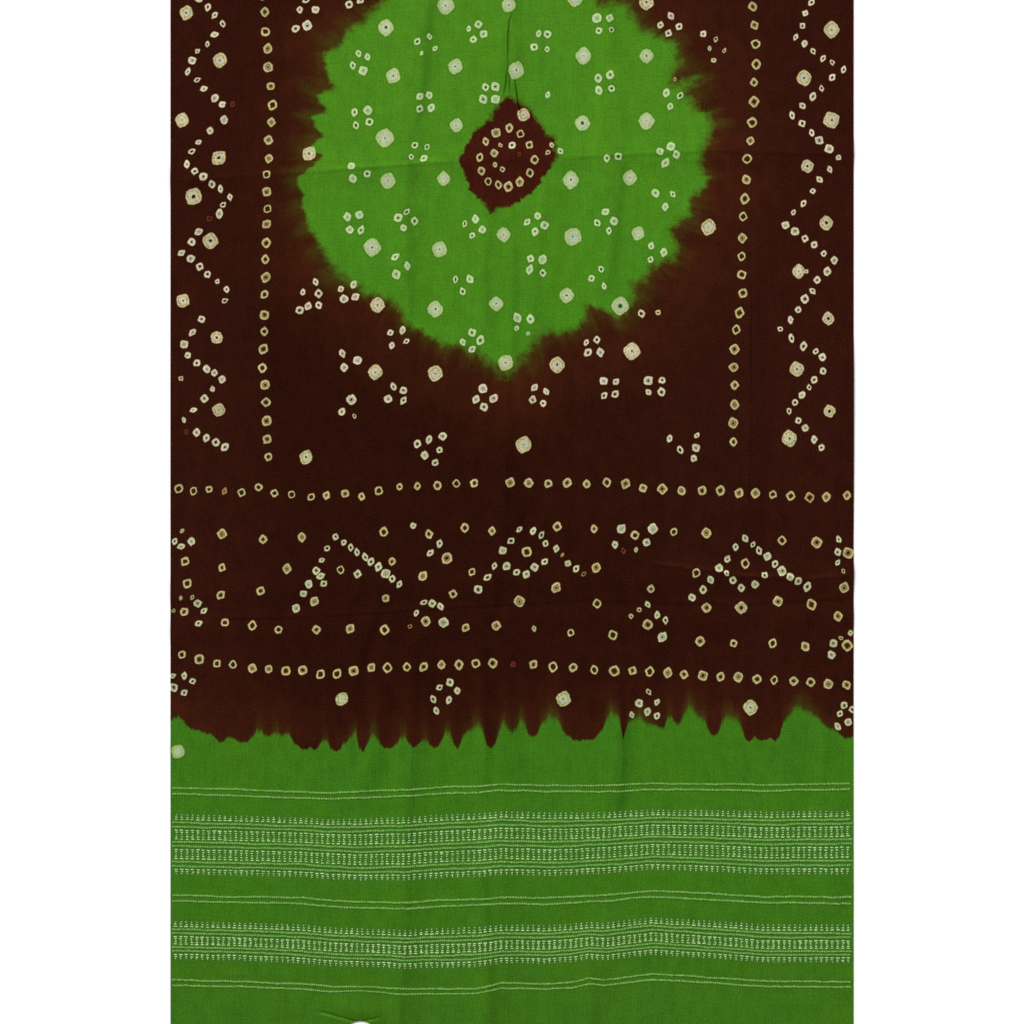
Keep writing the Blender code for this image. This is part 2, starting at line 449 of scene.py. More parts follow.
# %% Zigzag borders
LEFT_ZIGZAG = (
    # x, y, ties up to here
    (-298, 489, 1), (-274, 464, 3), (-306, 430, 4), (-308, 418, 1), (-277, 387, 4), (-274, 373, 1),
    (-299, 353, 2), (-310, 330, 2), (-269, 301, 5), (-278, 284, 2), (-288, 277, 0), (-315, 247, 3),
    (-273, 213, 5), (-274, 201, 1), (-295, 183, 1), (-313, 159, 2), (-310, 148, 1), (-274, 126, 4),
    (-313, 88, 4), (-300, 76, 1), (-273, 61, 3),
)
RIGHT_ZIGZAG = (
    (285, 485, 1), (270, 451, 3), (315, 421, 5), (267, 377, 5), (311, 338, 5), (260, 273, 6),
    (306, 240, 5), (257, 173, 7), (296, 146, 4), (295, 133, 1), (264, 96, 5), (295, 61, 4),
)
POCKET_TIES = (
    # x, y, size
    (-310, 475, 1.1), (-278, 430, 1.1), (-314, 373, 1.1), (-279, 337, 1.1), (-303, 300, 1.15),
    (-287, 258, 1.1), (-313, 201, 0.9), (-281, 166, 0.95), (-279, 97, 0.9),
    (304, 459, 1.0), (278, 413, 1.15), (304, 373, 1.1), (281, 329, 0.95), (299, 275, 1.1),
    (273, 229, 0.9), (301, 184, 1.0), (271, 136, 0.95), (302, 96, 0.95), (264, 70, 1.2),
)
ZIGZAG_SLIP = 0.8
ZIGZAG_SIZES = (0.8, 1.15)
for bends in (LEFT_ZIGZAG, RIGHT_ZIGZAG):
    tie("white", *bends[0][:2])
    for (x0, y0, _), (x1, y1, count) in zip(bends, bends[1:]):
        for step in range(1, count + 1):
            share = step / count
            place = np.array([x0 + (x1 - x0) * share, y0 + (y1 - y0) * share])
            place = place + rng.normal(0.0, ZIGZAG_SLIP, 2)
            tie("white", *place, size=rng.uniform(*ZIGZAG_SIZES))
for x, y, size in POCKET_TIES:
    tie("large", x, y, size)
print(len(ties), "ties with the borders")

# %% [markdown]
# The medallion has large ties on a loose lattice, with a group of small ones in each space between
# them. A group is its middle, how many ties it has and how far it is turned. A few large ties
# opened into a wider hole, and in a few groups one or two ties came out weak.

# %% Medallion ties
LARGE_TIES = (
    (-120, 461), (-63, 482), (-3, 482), (60, 488), (128, 485), (-113, 415), (-54, 424), (4, 420),
    (68, 434), (128, 434), (-121, 356), (-53, 368), (67, 370), (128, 372), (-193, 341), (-118, 315),
    (-65, 317), (56, 316), (112, 318), (-133, 252), (-69, 250), (-8, 264), (58, 262), (120, 265),
    (187, 271), (-128, 197), (-73, 193), (-15, 198), (52, 206), (103, 196), (-130, 133), (-73, 132),
    (-6, 142), (43, 140), (114, 153), (-196, 52), (11, 64), (-162, -178), (49, -178), (227, -186),
    (-318, -228), (11, 378),
)
HOLES = {(-120, 461): 1.7, (67, 370): 1.8, (103, 196): 2.2, (-162, -178): 0.3, (-318, -228): 0.3}
GROUPS = (
    # x, y, ties, turn in degrees
    (-145, 428, 4, 26), (-82, 444, 4, 68), (-34, 457, 4, 65), (-143, 375, 4, 50), (-82, 390, 4, 55),
    (-21, 398, 4, 38), (-88, 343, 4, 35), (-147, 323, 3, 0), (28, 448, 4, 35), (88, 464, 4, 55),
    (88, 408, 4, 50), (150, 463, 4, 80), (153, 394, 3, 20), (149, 341, 4, 75), (145, 299, 3, 30),
    (-150, 275, 4, 45), (-101, 278, 4, 80), (-37, 271, 4, 78), (-107, 234, 3, 0), (-46, 217, 3, 20),
    (-155, 209, 4, 55), (-109, 166, 4, 62), (-38, 162, 4, 95), (-156, 144, 3, 0),
    (-110, 112, 4, 35), (-155, 98, 3, 75), (-27, 108, 4, 90), (22, 274, 4, 80), (90, 276, 4, 100),
    (137, 246, 3, 0), (83, 223, 3, 70), (24, 235, 4, 35), (11, 178, 4, 40), (77, 157, 4, 55),
    (26, 110, 4, 25), (93, 118, 4, 45), (136, 119, 4, 42),
)
WEAK_TIES = {(-82, 444): 2, (28, 448): 1, (88, 464): 1, (11, 178): 2, (-155, 98): 1}
LARGE_SIZES = (1.0, 1.14)
HOLE_RANGE = (0.5, 1.2)
GROUP_REACH = 8.3
REACH_RANGE = (0.85, 1.15)
GROUP_SIZES = (0.93, 1.2)
WEAK_SIZES = (0.6, 0.7)
TURN_SPREAD = 7.0
for x, y in LARGE_TIES:
    tie("large", x, y, rng.uniform(*LARGE_SIZES), HOLES.get((x, y), rng.uniform(*HOLE_RANGE)))
for x, y, count, turn in GROUPS:
    for number in range(count):
        angle = math.radians(turn + 360.0 * number / count + rng.normal(0.0, TURN_SPREAD))
        reach = GROUP_REACH * rng.uniform(*REACH_RANGE)
        size = rng.uniform(*GROUP_SIZES)
        if number >= count - WEAK_TIES.get((x, y), 0):
            size = rng.uniform(*WEAK_SIZES)
        tie("white", x + reach * math.cos(angle), y + reach * math.sin(angle), size)
print(len(ties), "ties with the medallion")

# %% [markdown]
# In the brown heart of the medallion a ring of thirteen ties stands round a few small ones. The
# ties that follow no line are set one by one, sort by sort.

# %% Heart ring and single ties
HEART = (-4.0, 337.5)
HEART_RING = (
    # angle in degrees, distance from the middle of the heart
    (87, 28.0), (62, 25.3), (30, 23.7), (-6, 25.6), (-35, 25.7), (-64, 26.0), (-89, 28.0),
    (-109, 27.6), (-129, 29.8), (-152, 28.4), (-179, 26.7), (145, 25.6), (116, 25.7),
)
for angle, reach in HEART_RING:
    angle = math.radians(angle)
    tie("heart_ring", HEART[0] + reach * math.cos(angle), HEART[1] + reach * math.sin(angle))
SINGLE_TIES = {
    "ring": (
        (-276, -21), (-237, -26), (-200, -24), (-122, -19), (-79, -21), (-45, -15), (-19, -18),
        (43, -14), (78, -16), (117, -22), (154, -19), (222, -49), (-311, -47), (-276, -53),
        (-214, -54), (-163, -55), (-114, -47), (-85, -61), (-38, -57), (80, -53), (175, -58),
        (-309, -68), (-277, -79), (-239, -75), (-188, -85), (-120, -82), (-56, -78), (81, -87),
        (132, -73), (185, -91), (-312, -95), (-273, -105), (-247, -108), (-222, -112), (-186, -112),
        (-154, -111), (-121, -112), (-82, -104), (-44, -110), (-15, -108), (56, -115), (129, -107),
        (179, -123), (211, -125), (248, -125),
    ),
    "wide_ring": (
        (185, -20), (257, -27), (290, -29), (320, -39), (-62, -44), (14, -38), (7, -85), (42, -72),
        (218, -91), (253, -85), (285, -88), (316, -72), (96, -117), (279, -128), (310, -99),
        (319, -127),
    ),
    "white": (
        (-196, 487), (-202, 478), (-187, 478), (-206, 460), (-155, 483), (-144, 487), (182, 455),
        (34, 397), (0, 349), (90, 336), (46, 343), (101, 338), (-187, 219), (-199, 209),
        (-184, 208), (-194, 196), (-202, 192), (-184, 197), (123, 189), (20, -18), (28, -22),
        (32, -30), (42, -35), (53, -49), (61, -54), (204, -58), (210, -65), (218, -72), (231, -69),
        (240, -60), (-90, 65), (-79, 69), (-66, 72), (-83, 54), (-69, 59), (-73, 47), (150, 70),
        (176, 73), (160, 59), (175, 61), (173, 51), (-94, -13), (-69, -30), (-78, -39), (128, -29),
        (98, -31), (-84, -86), (-76, -87), (-68, -90), (-91, -96), (129, -88), (138, -98),
        (146, -103), (-321, -28), (-315, -33), (-305, -28), (-299, -87), (-293, -94), (-298, -106),
        (311, -26), (310, -38), (310, -48), (306, -125), (-147, -59), (-182, -61), (-179, -68),
        (-323, -156), (-312, -156), (-304, -161), (-322, -167), (-312, -172), (-59, -162),
        (-69, -167), (-52, -170), (-75, -178), (-60, -179), (-72, -189), (130, -171), (121, -182),
        (138, -181), (114, -193), (129, -190), (138, -194), (316, -184), (324, -188), (312, -192),
        (320, -200), (310, -204),
    ),
    "broad_white": ((104, -16), (134, -16), (-65, -105), (143, -119), (304, -136), (-195, 463)),
    "tiny": (
        (118, -36), (121, -93), (113, -99), (-315, -82), (-304, -81), (-322, -94), (21, -111),
        (315, -56), (313, -120), (322, -115), (139, 190), (194, 450), (188, 441), (202, 439),
        (192, 430), (38, 349), (34, 342), (-11, 349), (-16, 330), (-9, 326), (-315, 127),
        (-314, -18), (280, 229),
    ),
    "heart_ring": ((-17, 341),),
    "rusty": ((-97, -109), (48, -41), (68, -59), (155, 412)),
    "slipped": ((106, -37), (7, 340), (1, -145), (-310, 76), (-266, 388), (-288, 279)),
}
for sort, places in SINGLE_TIES.items():
    for x, y in places:
        tie(sort, x, y)
ties = np.array(ties)
print(len(ties), "ties in all")

# %% [markdown]
# ## The sheet
# The cloth is one grid, laid out flat, moved to where it lies and lifted along its folds, and then
# thickened upwards so that its underside rests on the surface. Threads of the grid stand closer
# together at the sharp creases, so a crease a few millimetres wide is real shape. The rows of the
# grid bend with the two long creases.

# %% Grid of the sheet
CELLS_ACROSS = 172
CELLS_ALONG = 282
SHARP_ACROSS = (228.0,)
SHARP_ALONG = (337.0, -88.0)
SHARP_REACH = 6.0
SHARP_CLOSENESS = 2.2
FINE_PLACES = 8001
ROW_BEND_REACH = 90.0


def spaced(low, high, count, sharp_lines):
    """Places from low to high, closer together near each sharp line."""
    fine = np.linspace(low, high, FINE_PLACES)
    near_lines = sum(np.exp(-(((fine - line) / SHARP_REACH) ** 2)) for line in sharp_lines)
    density = 1.0 + SHARP_CLOSENESS * near_lines
    passed = np.concatenate([[0.0], np.cumsum(0.5 * (density[1:] + density[:-1]))])
    return np.interp(np.linspace(0.0, passed[-1], count + 1), passed, fine)


def row_bend(x, y):
    """How far a row of the grid at (x, y) is bent to follow the long creases, in millimetres."""
    bend = np.zeros(np.shape(x))
    for line, points in zip(SHARP_ALONG, CREASE_LINES):
        places = np.array(points, float)
        near = 0.5 + 0.5 * np.cos(np.pi * np.clip((y - line) / ROW_BEND_REACH, -1.0, 1.0))
        bend = bend + near * (np.interp(x, places[:, 0], places[:, 1]) - line)
    return bend


columns = spaced(-CLOTH_WIDTH / 2, CLOTH_WIDTH / 2, CELLS_ACROSS, SHARP_ACROSS)
rows = spaced(-CLOTH_LENGTH / 2, CLOTH_LENGTH / 2, CELLS_ALONG, SHARP_ALONG)
print("threads of the grid are", round(float(np.diff(rows).min()), 2), "to",
      round(float(np.diff(rows).max()), 2), "mm apart")

# %% [markdown]
# A large tie leaves a soft pucker when it is opened: a low dome, a little wider than the dot. The
# puckers of small ties are too small for the grid, and stay in the surface finish.

# %% Height of the cloth
PUCKER_HEIGHT = 0.45
PUCKER_REACH = 1.3
PUCKER_LEAST_RADIUS = 5.5


def cloth_height(x, y):
    """How high the underside lies above the surface at (x, y), in millimetres."""
    lifted = sum(fold_height(x, y, fold) for fold in FOLDS) - SETTLE
    lifted = np.maximum(lifted, 0.0)
    return lifted + sum(crease_height(x, y, crease) for crease in CREASES)


def pucker_height(x, y):
    """How high the opened large ties stand at (x, y), in millimetres."""
    height = np.zeros(np.shape(x))
    for tie_x, tie_y, radius, *_ in ties[ties[:, 2] > PUCKER_LEAST_RADIUS]:
        apart = np.hypot(x - tie_x, y - tie_y) / (PUCKER_REACH * radius)
        height = height + PUCKER_HEIGHT * (0.5 + 0.5 * np.cos(np.pi * np.clip(apart, 0.0, 1.0)))
    return height


print((ties[:, 2] > PUCKER_LEAST_RADIUS).sum(), "ties are large enough to pucker the cloth")

# %% [markdown]
# The sheet could be a cloth simulation, but the photo fixes each fold, so it is placed instead. It
# starts as a flat grid of square cells. Each corner is moved to its thread's place, then to where
# it lies on the surface, and last it is lifted to the height of the cloth there.

# %% Sheet piece
bpy.ops.object.select_all(action="DESELECT")
bpy.ops.mesh.primitive_grid_add(x_subdivisions=CELLS_ACROSS, y_subdivisions=CELLS_ALONG, size=2.0)
cloth = bpy.context.active_object
cloth.name = "bandhani_sheet"
cloth.data.name = "bandhani_sheet"


def read(items, field, width=1, kind=float):
    """One field of all the items of a mesh, a row for each."""
    values = np.empty(len(items) * width, dtype=kind)
    items.foreach_get(field, values)
    return values.reshape(-1, width) if width > 1 else values


grid = read(cloth.data.vertices, "co", 3)
flat_x = columns[np.rint((grid[:, 0] + 1.0) / 2.0 * CELLS_ACROSS).astype(int)]
flat_y = rows[np.rint((grid[:, 1] + 1.0) / 2.0 * CELLS_ALONG).astype(int)]
flat_y = flat_y + row_bend(flat_x, flat_y)
laid_x, laid_y = laid(flat_x, flat_y)
laid_z = cloth_height(laid_x, laid_y) + pucker_height(laid_x, laid_y)
cloth.data.vertices.foreach_set("co", (np.stack([laid_x, laid_y, laid_z], axis=1) * MM).ravel())
print("the cloth's folds rise to", round(float(laid_z.max()), 2), "mm")

# %% [markdown]
# Where each corner lies on the flat cloth is kept in a UV map before the sheet is thickened, so the
# weave can follow the threads through every pull and fold. One unit of that map is a metre.
# Solidify then copies the map to the underside and the rim.

# %% Flat map and thickness
flat_map = cloth.data.uv_layers[0]
flat_map.name = "flat_cloth"
corner_vertex = read(cloth.data.loops, "vertex_index", kind=np.int32)
flat_corners = np.stack([flat_x[corner_vertex], flat_y[corner_vertex]], axis=1) * MM
flat_map.data.foreach_set("uv", flat_corners.ravel())

wall = cloth.modifiers.new("thickness", "SOLIDIFY")
wall.thickness = CLOTH_THICKNESS * MM
wall.offset = 1.0
wall.use_rim = True
bpy.ops.object.modifier_apply(modifier="thickness")
cloth.data.shade_smooth()
cloth.data.set_sharp_from_angle(angle=math.radians(60.0))
print("the sheet has", sum(len(face.vertices) - 2 for face in cloth.data.polygons), "triangles")

# %% [markdown]
# ## Telling the sheet where its ties are
# A dot must stay crisp although a face of the grid is nearly as wide as a small dot. So each face
# corner stores its own place inside the nearest dot, with the dot's rim at 1. The shader reads that
# and draws the dot at any sharpness. Where two dots almost touch, one face can hold parts of both,
# so the next nearest dot is stored too.

# %% Face corners
LOOK_SCALE = 0.1
vertex_places = read(cloth.data.vertices, "co", 3) / MM
corner_vertex = read(cloth.data.loops, "vertex_index", kind=np.int32)
corner_places = vertex_places[corner_vertex]
corners_of_face = read(cloth.data.polygons, "loop_total", kind=np.int32)
face_of_corner = np.repeat(np.arange(len(corners_of_face)), corners_of_face)
face_middles = read(cloth.data.polygons, "center", 3) / MM


def nearest_ties(places, chosen=2, block=4000):
    """The ties whose rims are nearest to each place, nearest first."""
    found = []
    for start in range(0, len(places), block):
        part = places[start : start + block]
        apart = np.hypot(part[:, None, 0] - ties[None, :, 0], part[:, None, 1] - ties[None, :, 1])
        found.append(np.argsort(apart - ties[None, :, 2], axis=1)[:, :chosen])
    return np.concatenate(found)


def store_ties(name, numbers):
    """Stores each corner's place in its tie as a UV map, and the tie's look as a colour.

    The look's first two numbers are millimetres, made smaller by LOOK_SCALE to suit a colour.
    """
    found = ties[numbers][face_of_corner]
    across = corner_places[:, 0] - found[:, 0]
    along = corner_places[:, 1] - found[:, 1]
    cosine, sine = np.cos(found[:, 4]), np.sin(found[:, 4])
    place = np.stack([(across * cosine + along * sine) / found[:, 2],
                      (along * cosine - across * sine) / found[:, 3]], axis=1)
    layer = cloth.data.uv_layers.new(name="place_in_" + name)
    layer.data.foreach_set("uv", place.ravel())
    look = cloth.data.attributes.new("look_of_" + name, "FLOAT_COLOR", "CORNER")
    radius = 0.5 * (found[:, 2] + found[:, 3])
    colour = [radius * LOOK_SCALE, found[:, 5] * LOOK_SCALE, found[:, 6], found[:, 7]]
    look.data.foreach_set("color", np.stack(colour, axis=1).ravel())


near = nearest_ties(face_middles)
store_ties("nearest_tie", near[:, 0])
store_ties("next_tie", near[:, 1])
print("each of", len(face_of_corner), "corners knows its two nearest ties")

# %% [markdown]
# ## Where the dyes meet
# The green is dyed first and the brown over it, with the parts that stay green bound off. Dye
# creeps under the binding, so the edges are ragged. Each edge is an outline of many points, set in
# millimetres, and every point of the sheet stores how far inside it lies. The creeping is left to
# the shader.

# %% Outlines of the dyes
MEDALLION = (
    (-100, 512), (-120, 487), (-137, 472), (-146, 463), (-157, 456), (-166, 441), (-180, 437),
    (-177, 423), (-174, 409), (-169, 404), (-187, 398), (-184, 392), (-175, 381), (-191, 375),
    (-187, 366), (-180, 358), (-187, 351), (-192, 344), (-179, 339), (-189, 329), (-203, 318),
    (-205, 311), (-199, 299), (-200, 289), (-195, 278), (-189, 262), (-179, 248), (-171, 233),
    (-155, 222), (-144, 212), (-136, 205), (-122, 205), (-108, 194), (-102, 182), (-93, 174),
    (-79, 167), (-66, 161), (-51, 157), (-34, 152), (-23, 145), (-12, 138), (-6, 129), (-3, 132),
    (7, 146), (16, 156), (25, 166), (27, 171), (42, 171), (61, 173), (68, 182), (71, 198),
    (86, 192), (100, 185), (110, 191), (117, 205), (114, 217), (128, 224), (137, 235), (153, 241),
    (157, 252), (155, 261), (151, 268), (159, 279), (170, 283), (169, 297), (184, 307), (188, 316),
    (181, 325), (181, 339), (187, 355), (191, 364), (187, 377), (174, 387), (163, 397), (166, 405),
    (176, 413), (160, 408), (152, 409), (151, 416), (159, 429), (155, 444), (139, 454), (123, 458),
    (117, 469), (107, 482), (92, 484), (84, 481), (79, 487), (74, 512),
)
HEART_PATCH = (
    (-4, 397), (-11, 389), (-19, 382), (-19, 375), (-30, 367), (-36, 362), (-42, 351), (-51, 335),
    (-44, 318), (-40, 306), (-27, 293), (-19, 281), (-16, 288), (-3, 290), (7, 295), (23, 308),
    (36, 327), (44, 339), (40, 346), (42, 357), (33, 359), (29, 367), (23, 375), (14, 387),
    (3, 392),
)
GREEN_END = (
    # x, y and softness: the green rises to a peak, then the brown reaches down in a lobe, and so on
    (-330, -200, 2.0), (-318, -194, 1.8), (-301, -207, 1.2), (-286, -211, 1.4), (-277, -219, 1.0),
    (-270, -213, 2.0), (-255, -219, 1.0), (-241, -206, 3.5), (-232, -213, 2.0), (-224, -208, 3.5),
    (-218, -213, 2.5), (-214, -208, 3.0), (-205, -221, 1.4), (-197, -226, 1.0), (-193, -221, 1.5),
    (-190, -227, 1.0), (-178, -215, 3.0), (-168, -228, 1.0), (-158, -218, 2.5), (-149, -207, 4.5),
    (-143, -228, 1.2), (-133, -210, 4.0), (-117, -225, 0.9), (-103, -212, 3.5), (-93, -223, 1.0),
    (-83, -215, 3.0), (-73, -224, 1.2), (-61, -206, 4.5), (-51, -225, 1.4), (-47, -213, 2.5),
    (-42, -207, 3.0), (-31, -200, 5.5), (-20, -224, 1.4), (-8, -197, 5.5), (1, -209, 3.0),
    (8, -193, 5.5), (20, -214, 1.6), (29, -200, 3.0), (35, -192, 5.5), (43, -196, 4.0),
    (53, -212, 1.8), (60, -217, 1.2), (79, -216, 1.0), (84, -207, 2.0), (94, -188, 5.0),
    (103, -194, 4.0), (106, -216, 1.2), (111, -197, 3.5), (121, -193, 5.0), (130, -201, 3.0),
    (146, -205, 2.0), (150, -188, 4.0), (156, -202, 2.5), (169, -183, 5.5), (182, -196, 3.5),
    (192, -213, 1.4), (204, -192, 4.5), (215, -197, 4.0), (226, -218, 1.0), (231, -213, 1.5),
    (236, -217, 0.8), (246, -216, 0.8), (247, -211, 1.2), (250, -218, 0.8), (260, -195, 3.0),
    (271, -183, 4.5), (284, -190, 3.5), (307, -206, 2.5), (318, -215, 1.6), (330, -210, 2.0),
)


def inside_distance(x, y, outline):
    """How far inside a closed outline each place lies, in millimetres, less than 0 outside it."""
    nearest = np.full(x.shape, np.inf)
    inside = np.zeros(x.shape, dtype=bool)
    for (x0, y0), (x1, y1) in zip(outline, outline[1:] + outline[:1]):
        share = ((x - x0) * (x1 - x0) + (y - y0) * (y1 - y0)) / ((x1 - x0) ** 2 + (y1 - y0) ** 2)
        share = np.clip(share, 0.0, 1.0)
        apart = np.hypot(x - x0 - share * (x1 - x0), y - y0 - share * (y1 - y0))
        nearest = np.minimum(nearest, apart)
        if y0 != y1:
            crosses = ((y0 > y) != (y1 > y)) & (x < (x1 - x0) * (y - y0) / (y1 - y0) + x0)
            inside ^= crosses
    return np.where(inside, nearest, -nearest)


def store(name, values):
    """Stores one number for each point of the sheet."""
    attribute = cloth.data.attributes.new(name, "FLOAT", "POINT")
    attribute.data.foreach_set("value", np.asarray(values, dtype=np.float32))


sheet_x, sheet_y = vertex_places[:, 0], vertex_places[:, 1]
store("in_medallion", inside_distance(sheet_x, sheet_y, MEDALLION))
store("in_heart", inside_distance(sheet_x, sheet_y, HEART_PATCH))
print("the dyes' outlines have", len(MEDALLION) + len(HEART_PATCH) + len(GREEN_END), "points")

# %% [markdown]
# The edge above the green end is a chain of lobes with steep flanks, broad lows and narrow peaks.
# The brown is crisp at the tip of a lobe, where the fold was bound tight, and bleeds at a green
# peak, by as much as the table says. Round the medallion the bleeding changes with the angle.

# %% Bleeding of the edges
MEDALLION_CENTRE = (-5.0, 338.0)
MEDALLION_BLEED = (
    # angle in degrees, softness in millimetres
    (-180, 1.6), (-165, 2.2), (-150, 7.0), (-135, 8.0), (-120, 4.0), (-100, 6.5), (-90, 8.0),
    (-75, 6.5), (-60, 2.6), (-45, 6.5), (-30, 7.0), (-15, 4.0), (0, 5.5), (20, 6.5), (40, 6.0),
    (55, 8.0), (75, 5.0), (120, 6.5), (140, 6.0), (152, 2.8), (180, 1.6),
)


def hung(x, places, values, roundness=1.5):
    """Values between places, with steep flanks, a narrow peak and a broad round low."""
    left = np.clip(np.searchsorted(places, x) - 1, 0, len(places) - 2)
    share = np.clip((x - places[left]) / (places[left + 1] - places[left]), 0.0, 1.0)
    low = np.minimum(values[left], values[left + 1])
    high = np.maximum(values[left], values[left + 1])
    rise = np.where(values[left + 1] > values[left], share, 1.0 - share)
    return low + (high - low) * smooth_step(rise) ** roundness


end_places = np.array(GREEN_END, float)
edge_height = hung(sheet_x, end_places[:, 0], end_places[:, 1])
store("in_green_end", edge_height - sheet_y)
store("end_bleed", hung(sheet_x, end_places[:, 0], end_places[:, 2]))
angles = np.degrees(np.arctan2(sheet_y - MEDALLION_CENTRE[1], sheet_x - MEDALLION_CENTRE[0]))
bleed_table = np.array(MEDALLION_BLEED, float)
store("medallion_bleed", np.interp(angles, bleed_table[:, 0], bleed_table[:, 1]))
print("the brown reaches down between", end_places[:, 1].min(), "and", end_places[:, 1].max(), "mm")

# %% [markdown]
# The sharpest creases get a painted highlight on the crest, where it catches the light, and a
# painted shade at the foot. Every point of the sheet stores how far it lies to the side of the
# nearest of these lines, and how strong the painted highlight, how dark the painted shade and how
# wide the line is there. The soft creases only get a little painted shade, so one number for each
# point is enough for them.

# %% Painted light and shade on the creases
CREASE_SHADING_LINES = (
    # painted highlight on the crest, painted shade and width of the foot, points of its line
    (0.04, 0.05, 4.2, CREASE_LINES[0][:2]),
    (0.17, 0.08, 4.2, CREASE_LINES[0][1:3]),
    (0.03, 0.13, 4.2, CREASE_LINES[0][3:]),
    (0.00, 0.22, 2.8, CREASE_LINES[1]),
    (0.42, 0.20, 3.4, CREASE_LINES[2]),
    (0.00, 0.34, 2.2, CREASE_LINES[3]),
    (0.10, 0.60, 1.9, ((-10, 391), (-6, 417), (-4, 466), (1, 480))),
    (0.12, 0.55, 1.9, ((8, 374), (5, 389), (1, 416))),
    (0.70, 0.40, 2.2, ((-122, -479), (-131, -482), (-145, -485), (-156, -483), (-172, -478),
                       (-188, -475))),
)
CREASE_SHADING_FADE = 30.0
CREASE_SHADING_FADE_SHARE = 0.15
CREASE_SHADING_REACH = 12.0
CREASE_SHADING_BLEND = 0.4 * CREASE_SHADING_REACH
UNSHADED_WIDTH = 2.0
SHARPEST = 4
SOFT_SHADE = 0.30
SOFT_WIDTH = 3.8
# Painted highlight and painted shade of the sharpest creases, stored for the shader.
crease_shading_aside = np.full(len(sheet_x), CREASE_SHADING_REACH)
crease_shading_pale, crease_shading_dark = np.zeros(len(sheet_x)), np.zeros(len(sheet_x))
crease_shading_width = np.full(len(sheet_x), UNSHADED_WIDTH)
for pale, dark, width, points in CREASE_SHADING_LINES:
    along, aside, length = nearest_on_line(sheet_x, sheet_y, points)
    fade = min(CREASE_SHADING_FADE, CREASE_SHADING_FADE_SHARE * length)
    ends = smooth_step(along / fade) * smooth_step((length - along) / fade)
    ends = ends * smooth_step((CREASE_SHADING_REACH - np.abs(aside)) / CREASE_SHADING_BLEND)
    closer = np.abs(aside) < np.abs(crease_shading_aside)
    crease_shading_aside = np.where(closer, aside, crease_shading_aside)
    crease_shading_pale = np.where(closer, pale * ends, crease_shading_pale)
    crease_shading_dark = np.where(closer, dark * ends, crease_shading_dark)
    crease_shading_width = np.where(closer, width, crease_shading_width)
crease_shading = {"aside": crease_shading_aside, "pale": crease_shading_pale, "dark": crease_shading_dark, "width": crease_shading_width}
for name, values in crease_shading.items():
    store("crease_shading_" + name, values)

# Painted shade along the soft creases.
soft_shade = np.zeros(len(sheet_x))
for height, _, _, points in CREASES[SHARPEST:]:
    along, aside, length = nearest_on_line(sheet_x, sheet_y, points)
    ends = smooth_step(along / CREASE_FADE) * smooth_step((length - along) / CREASE_FADE)
    soft_shade = soft_shade + SOFT_SHADE * height * ends * np.exp(-((aside / SOFT_WIDTH) ** 2))
store("soft_shade", soft_shade)
print(len(CREASE_SHADING_LINES), "stretches of crease are worn, and", len(CREASES) - SHARPEST, "are soft")

# %% [markdown]
# ## Adding nodes
# A pattern is a chain of nodes, and one function adds them all, with their settings and links. It
# calls each by a word: a sum by Blender's own name for it, and any other node by what it gives. So
# a dye reads like a recipe, where a function for each kind of node would hide what is used.

# %% Words for nodes
NODES = {
    # word: kind of node, its settings, the inputs that its values go to, the output handed back
    "vector_scale": ("VectorMath", {"operation": "SCALE"}, (0, "Scale"), 0),
    "vector_length": ("VectorMath", {"operation": "LENGTH"}, (0,), "Value"),
    "smoothstep": ("MapRange", {"interpolation_type": "SMOOTHSTEP"}, (0, 1, 2, 3, 4), 0),
    "straight_step": ("MapRange", {}, (0, 1, 2), 0),
    "mix": ("Mix", {"data_type": "RGBA"}, (0, 6, 7), 2),
    "tint": ("Mix", {"data_type": "RGBA", "blend_type": "MULTIPLY"}, (0, 6, 7), 2),
    "mix_numbers": ("Mix", {"data_type": "FLOAT"}, (0, 2, 3), 0),
    "ramp": ("ValToRGB", {}, (0,), 0),
    "noise": ("TexNoise", {}, ("Vector", "Scale", "Detail", "Roughness"), "Fac"),
    "flat_noise": ("TexNoise", {"noise_dimensions": "2D"}, ("Vector", "Scale", "Detail"), "Fac"),
    "vector_noise": ("TexNoise", {}, ("Vector", "Scale", "Detail"), "Color"),
    "stored": ("Attribute", {}, (), "Fac"),
    "stored_look": ("Attribute", {}, (), None),
    "own_place": ("TexCoord", {}, (), "Object"),
    "map_place": ("UVMap", {}, (), "UV"),
    "stretched": ("Mapping", {}, ("Vector", "Location", "Scale"), 0),
    "upward": ("CombineXYZ", {}, ("Z",), 0),
    "axes": ("SeparateXYZ", {}, (0,), None),
    "channels": ("SeparateColor", {}, (0,), None),
    "bump": ("Bump", {}, ("Height", "Distance", "Strength"), "Normal"),
}
for word in ("add", "subtract", "multiply", "multiply_add", "divide", "power", "sine", "maximum",
             "minimum", "greater_than"):
    NODES[word] = ("Math", {"operation": word.upper()}, (0, 1, 2), 0)
for word in ("add", "subtract", "multiply", "normalize", "absolute"):
    NODES["vector_" + word] = ("VectorMath", {"operation": word.upper()}, (0, 1), 0)


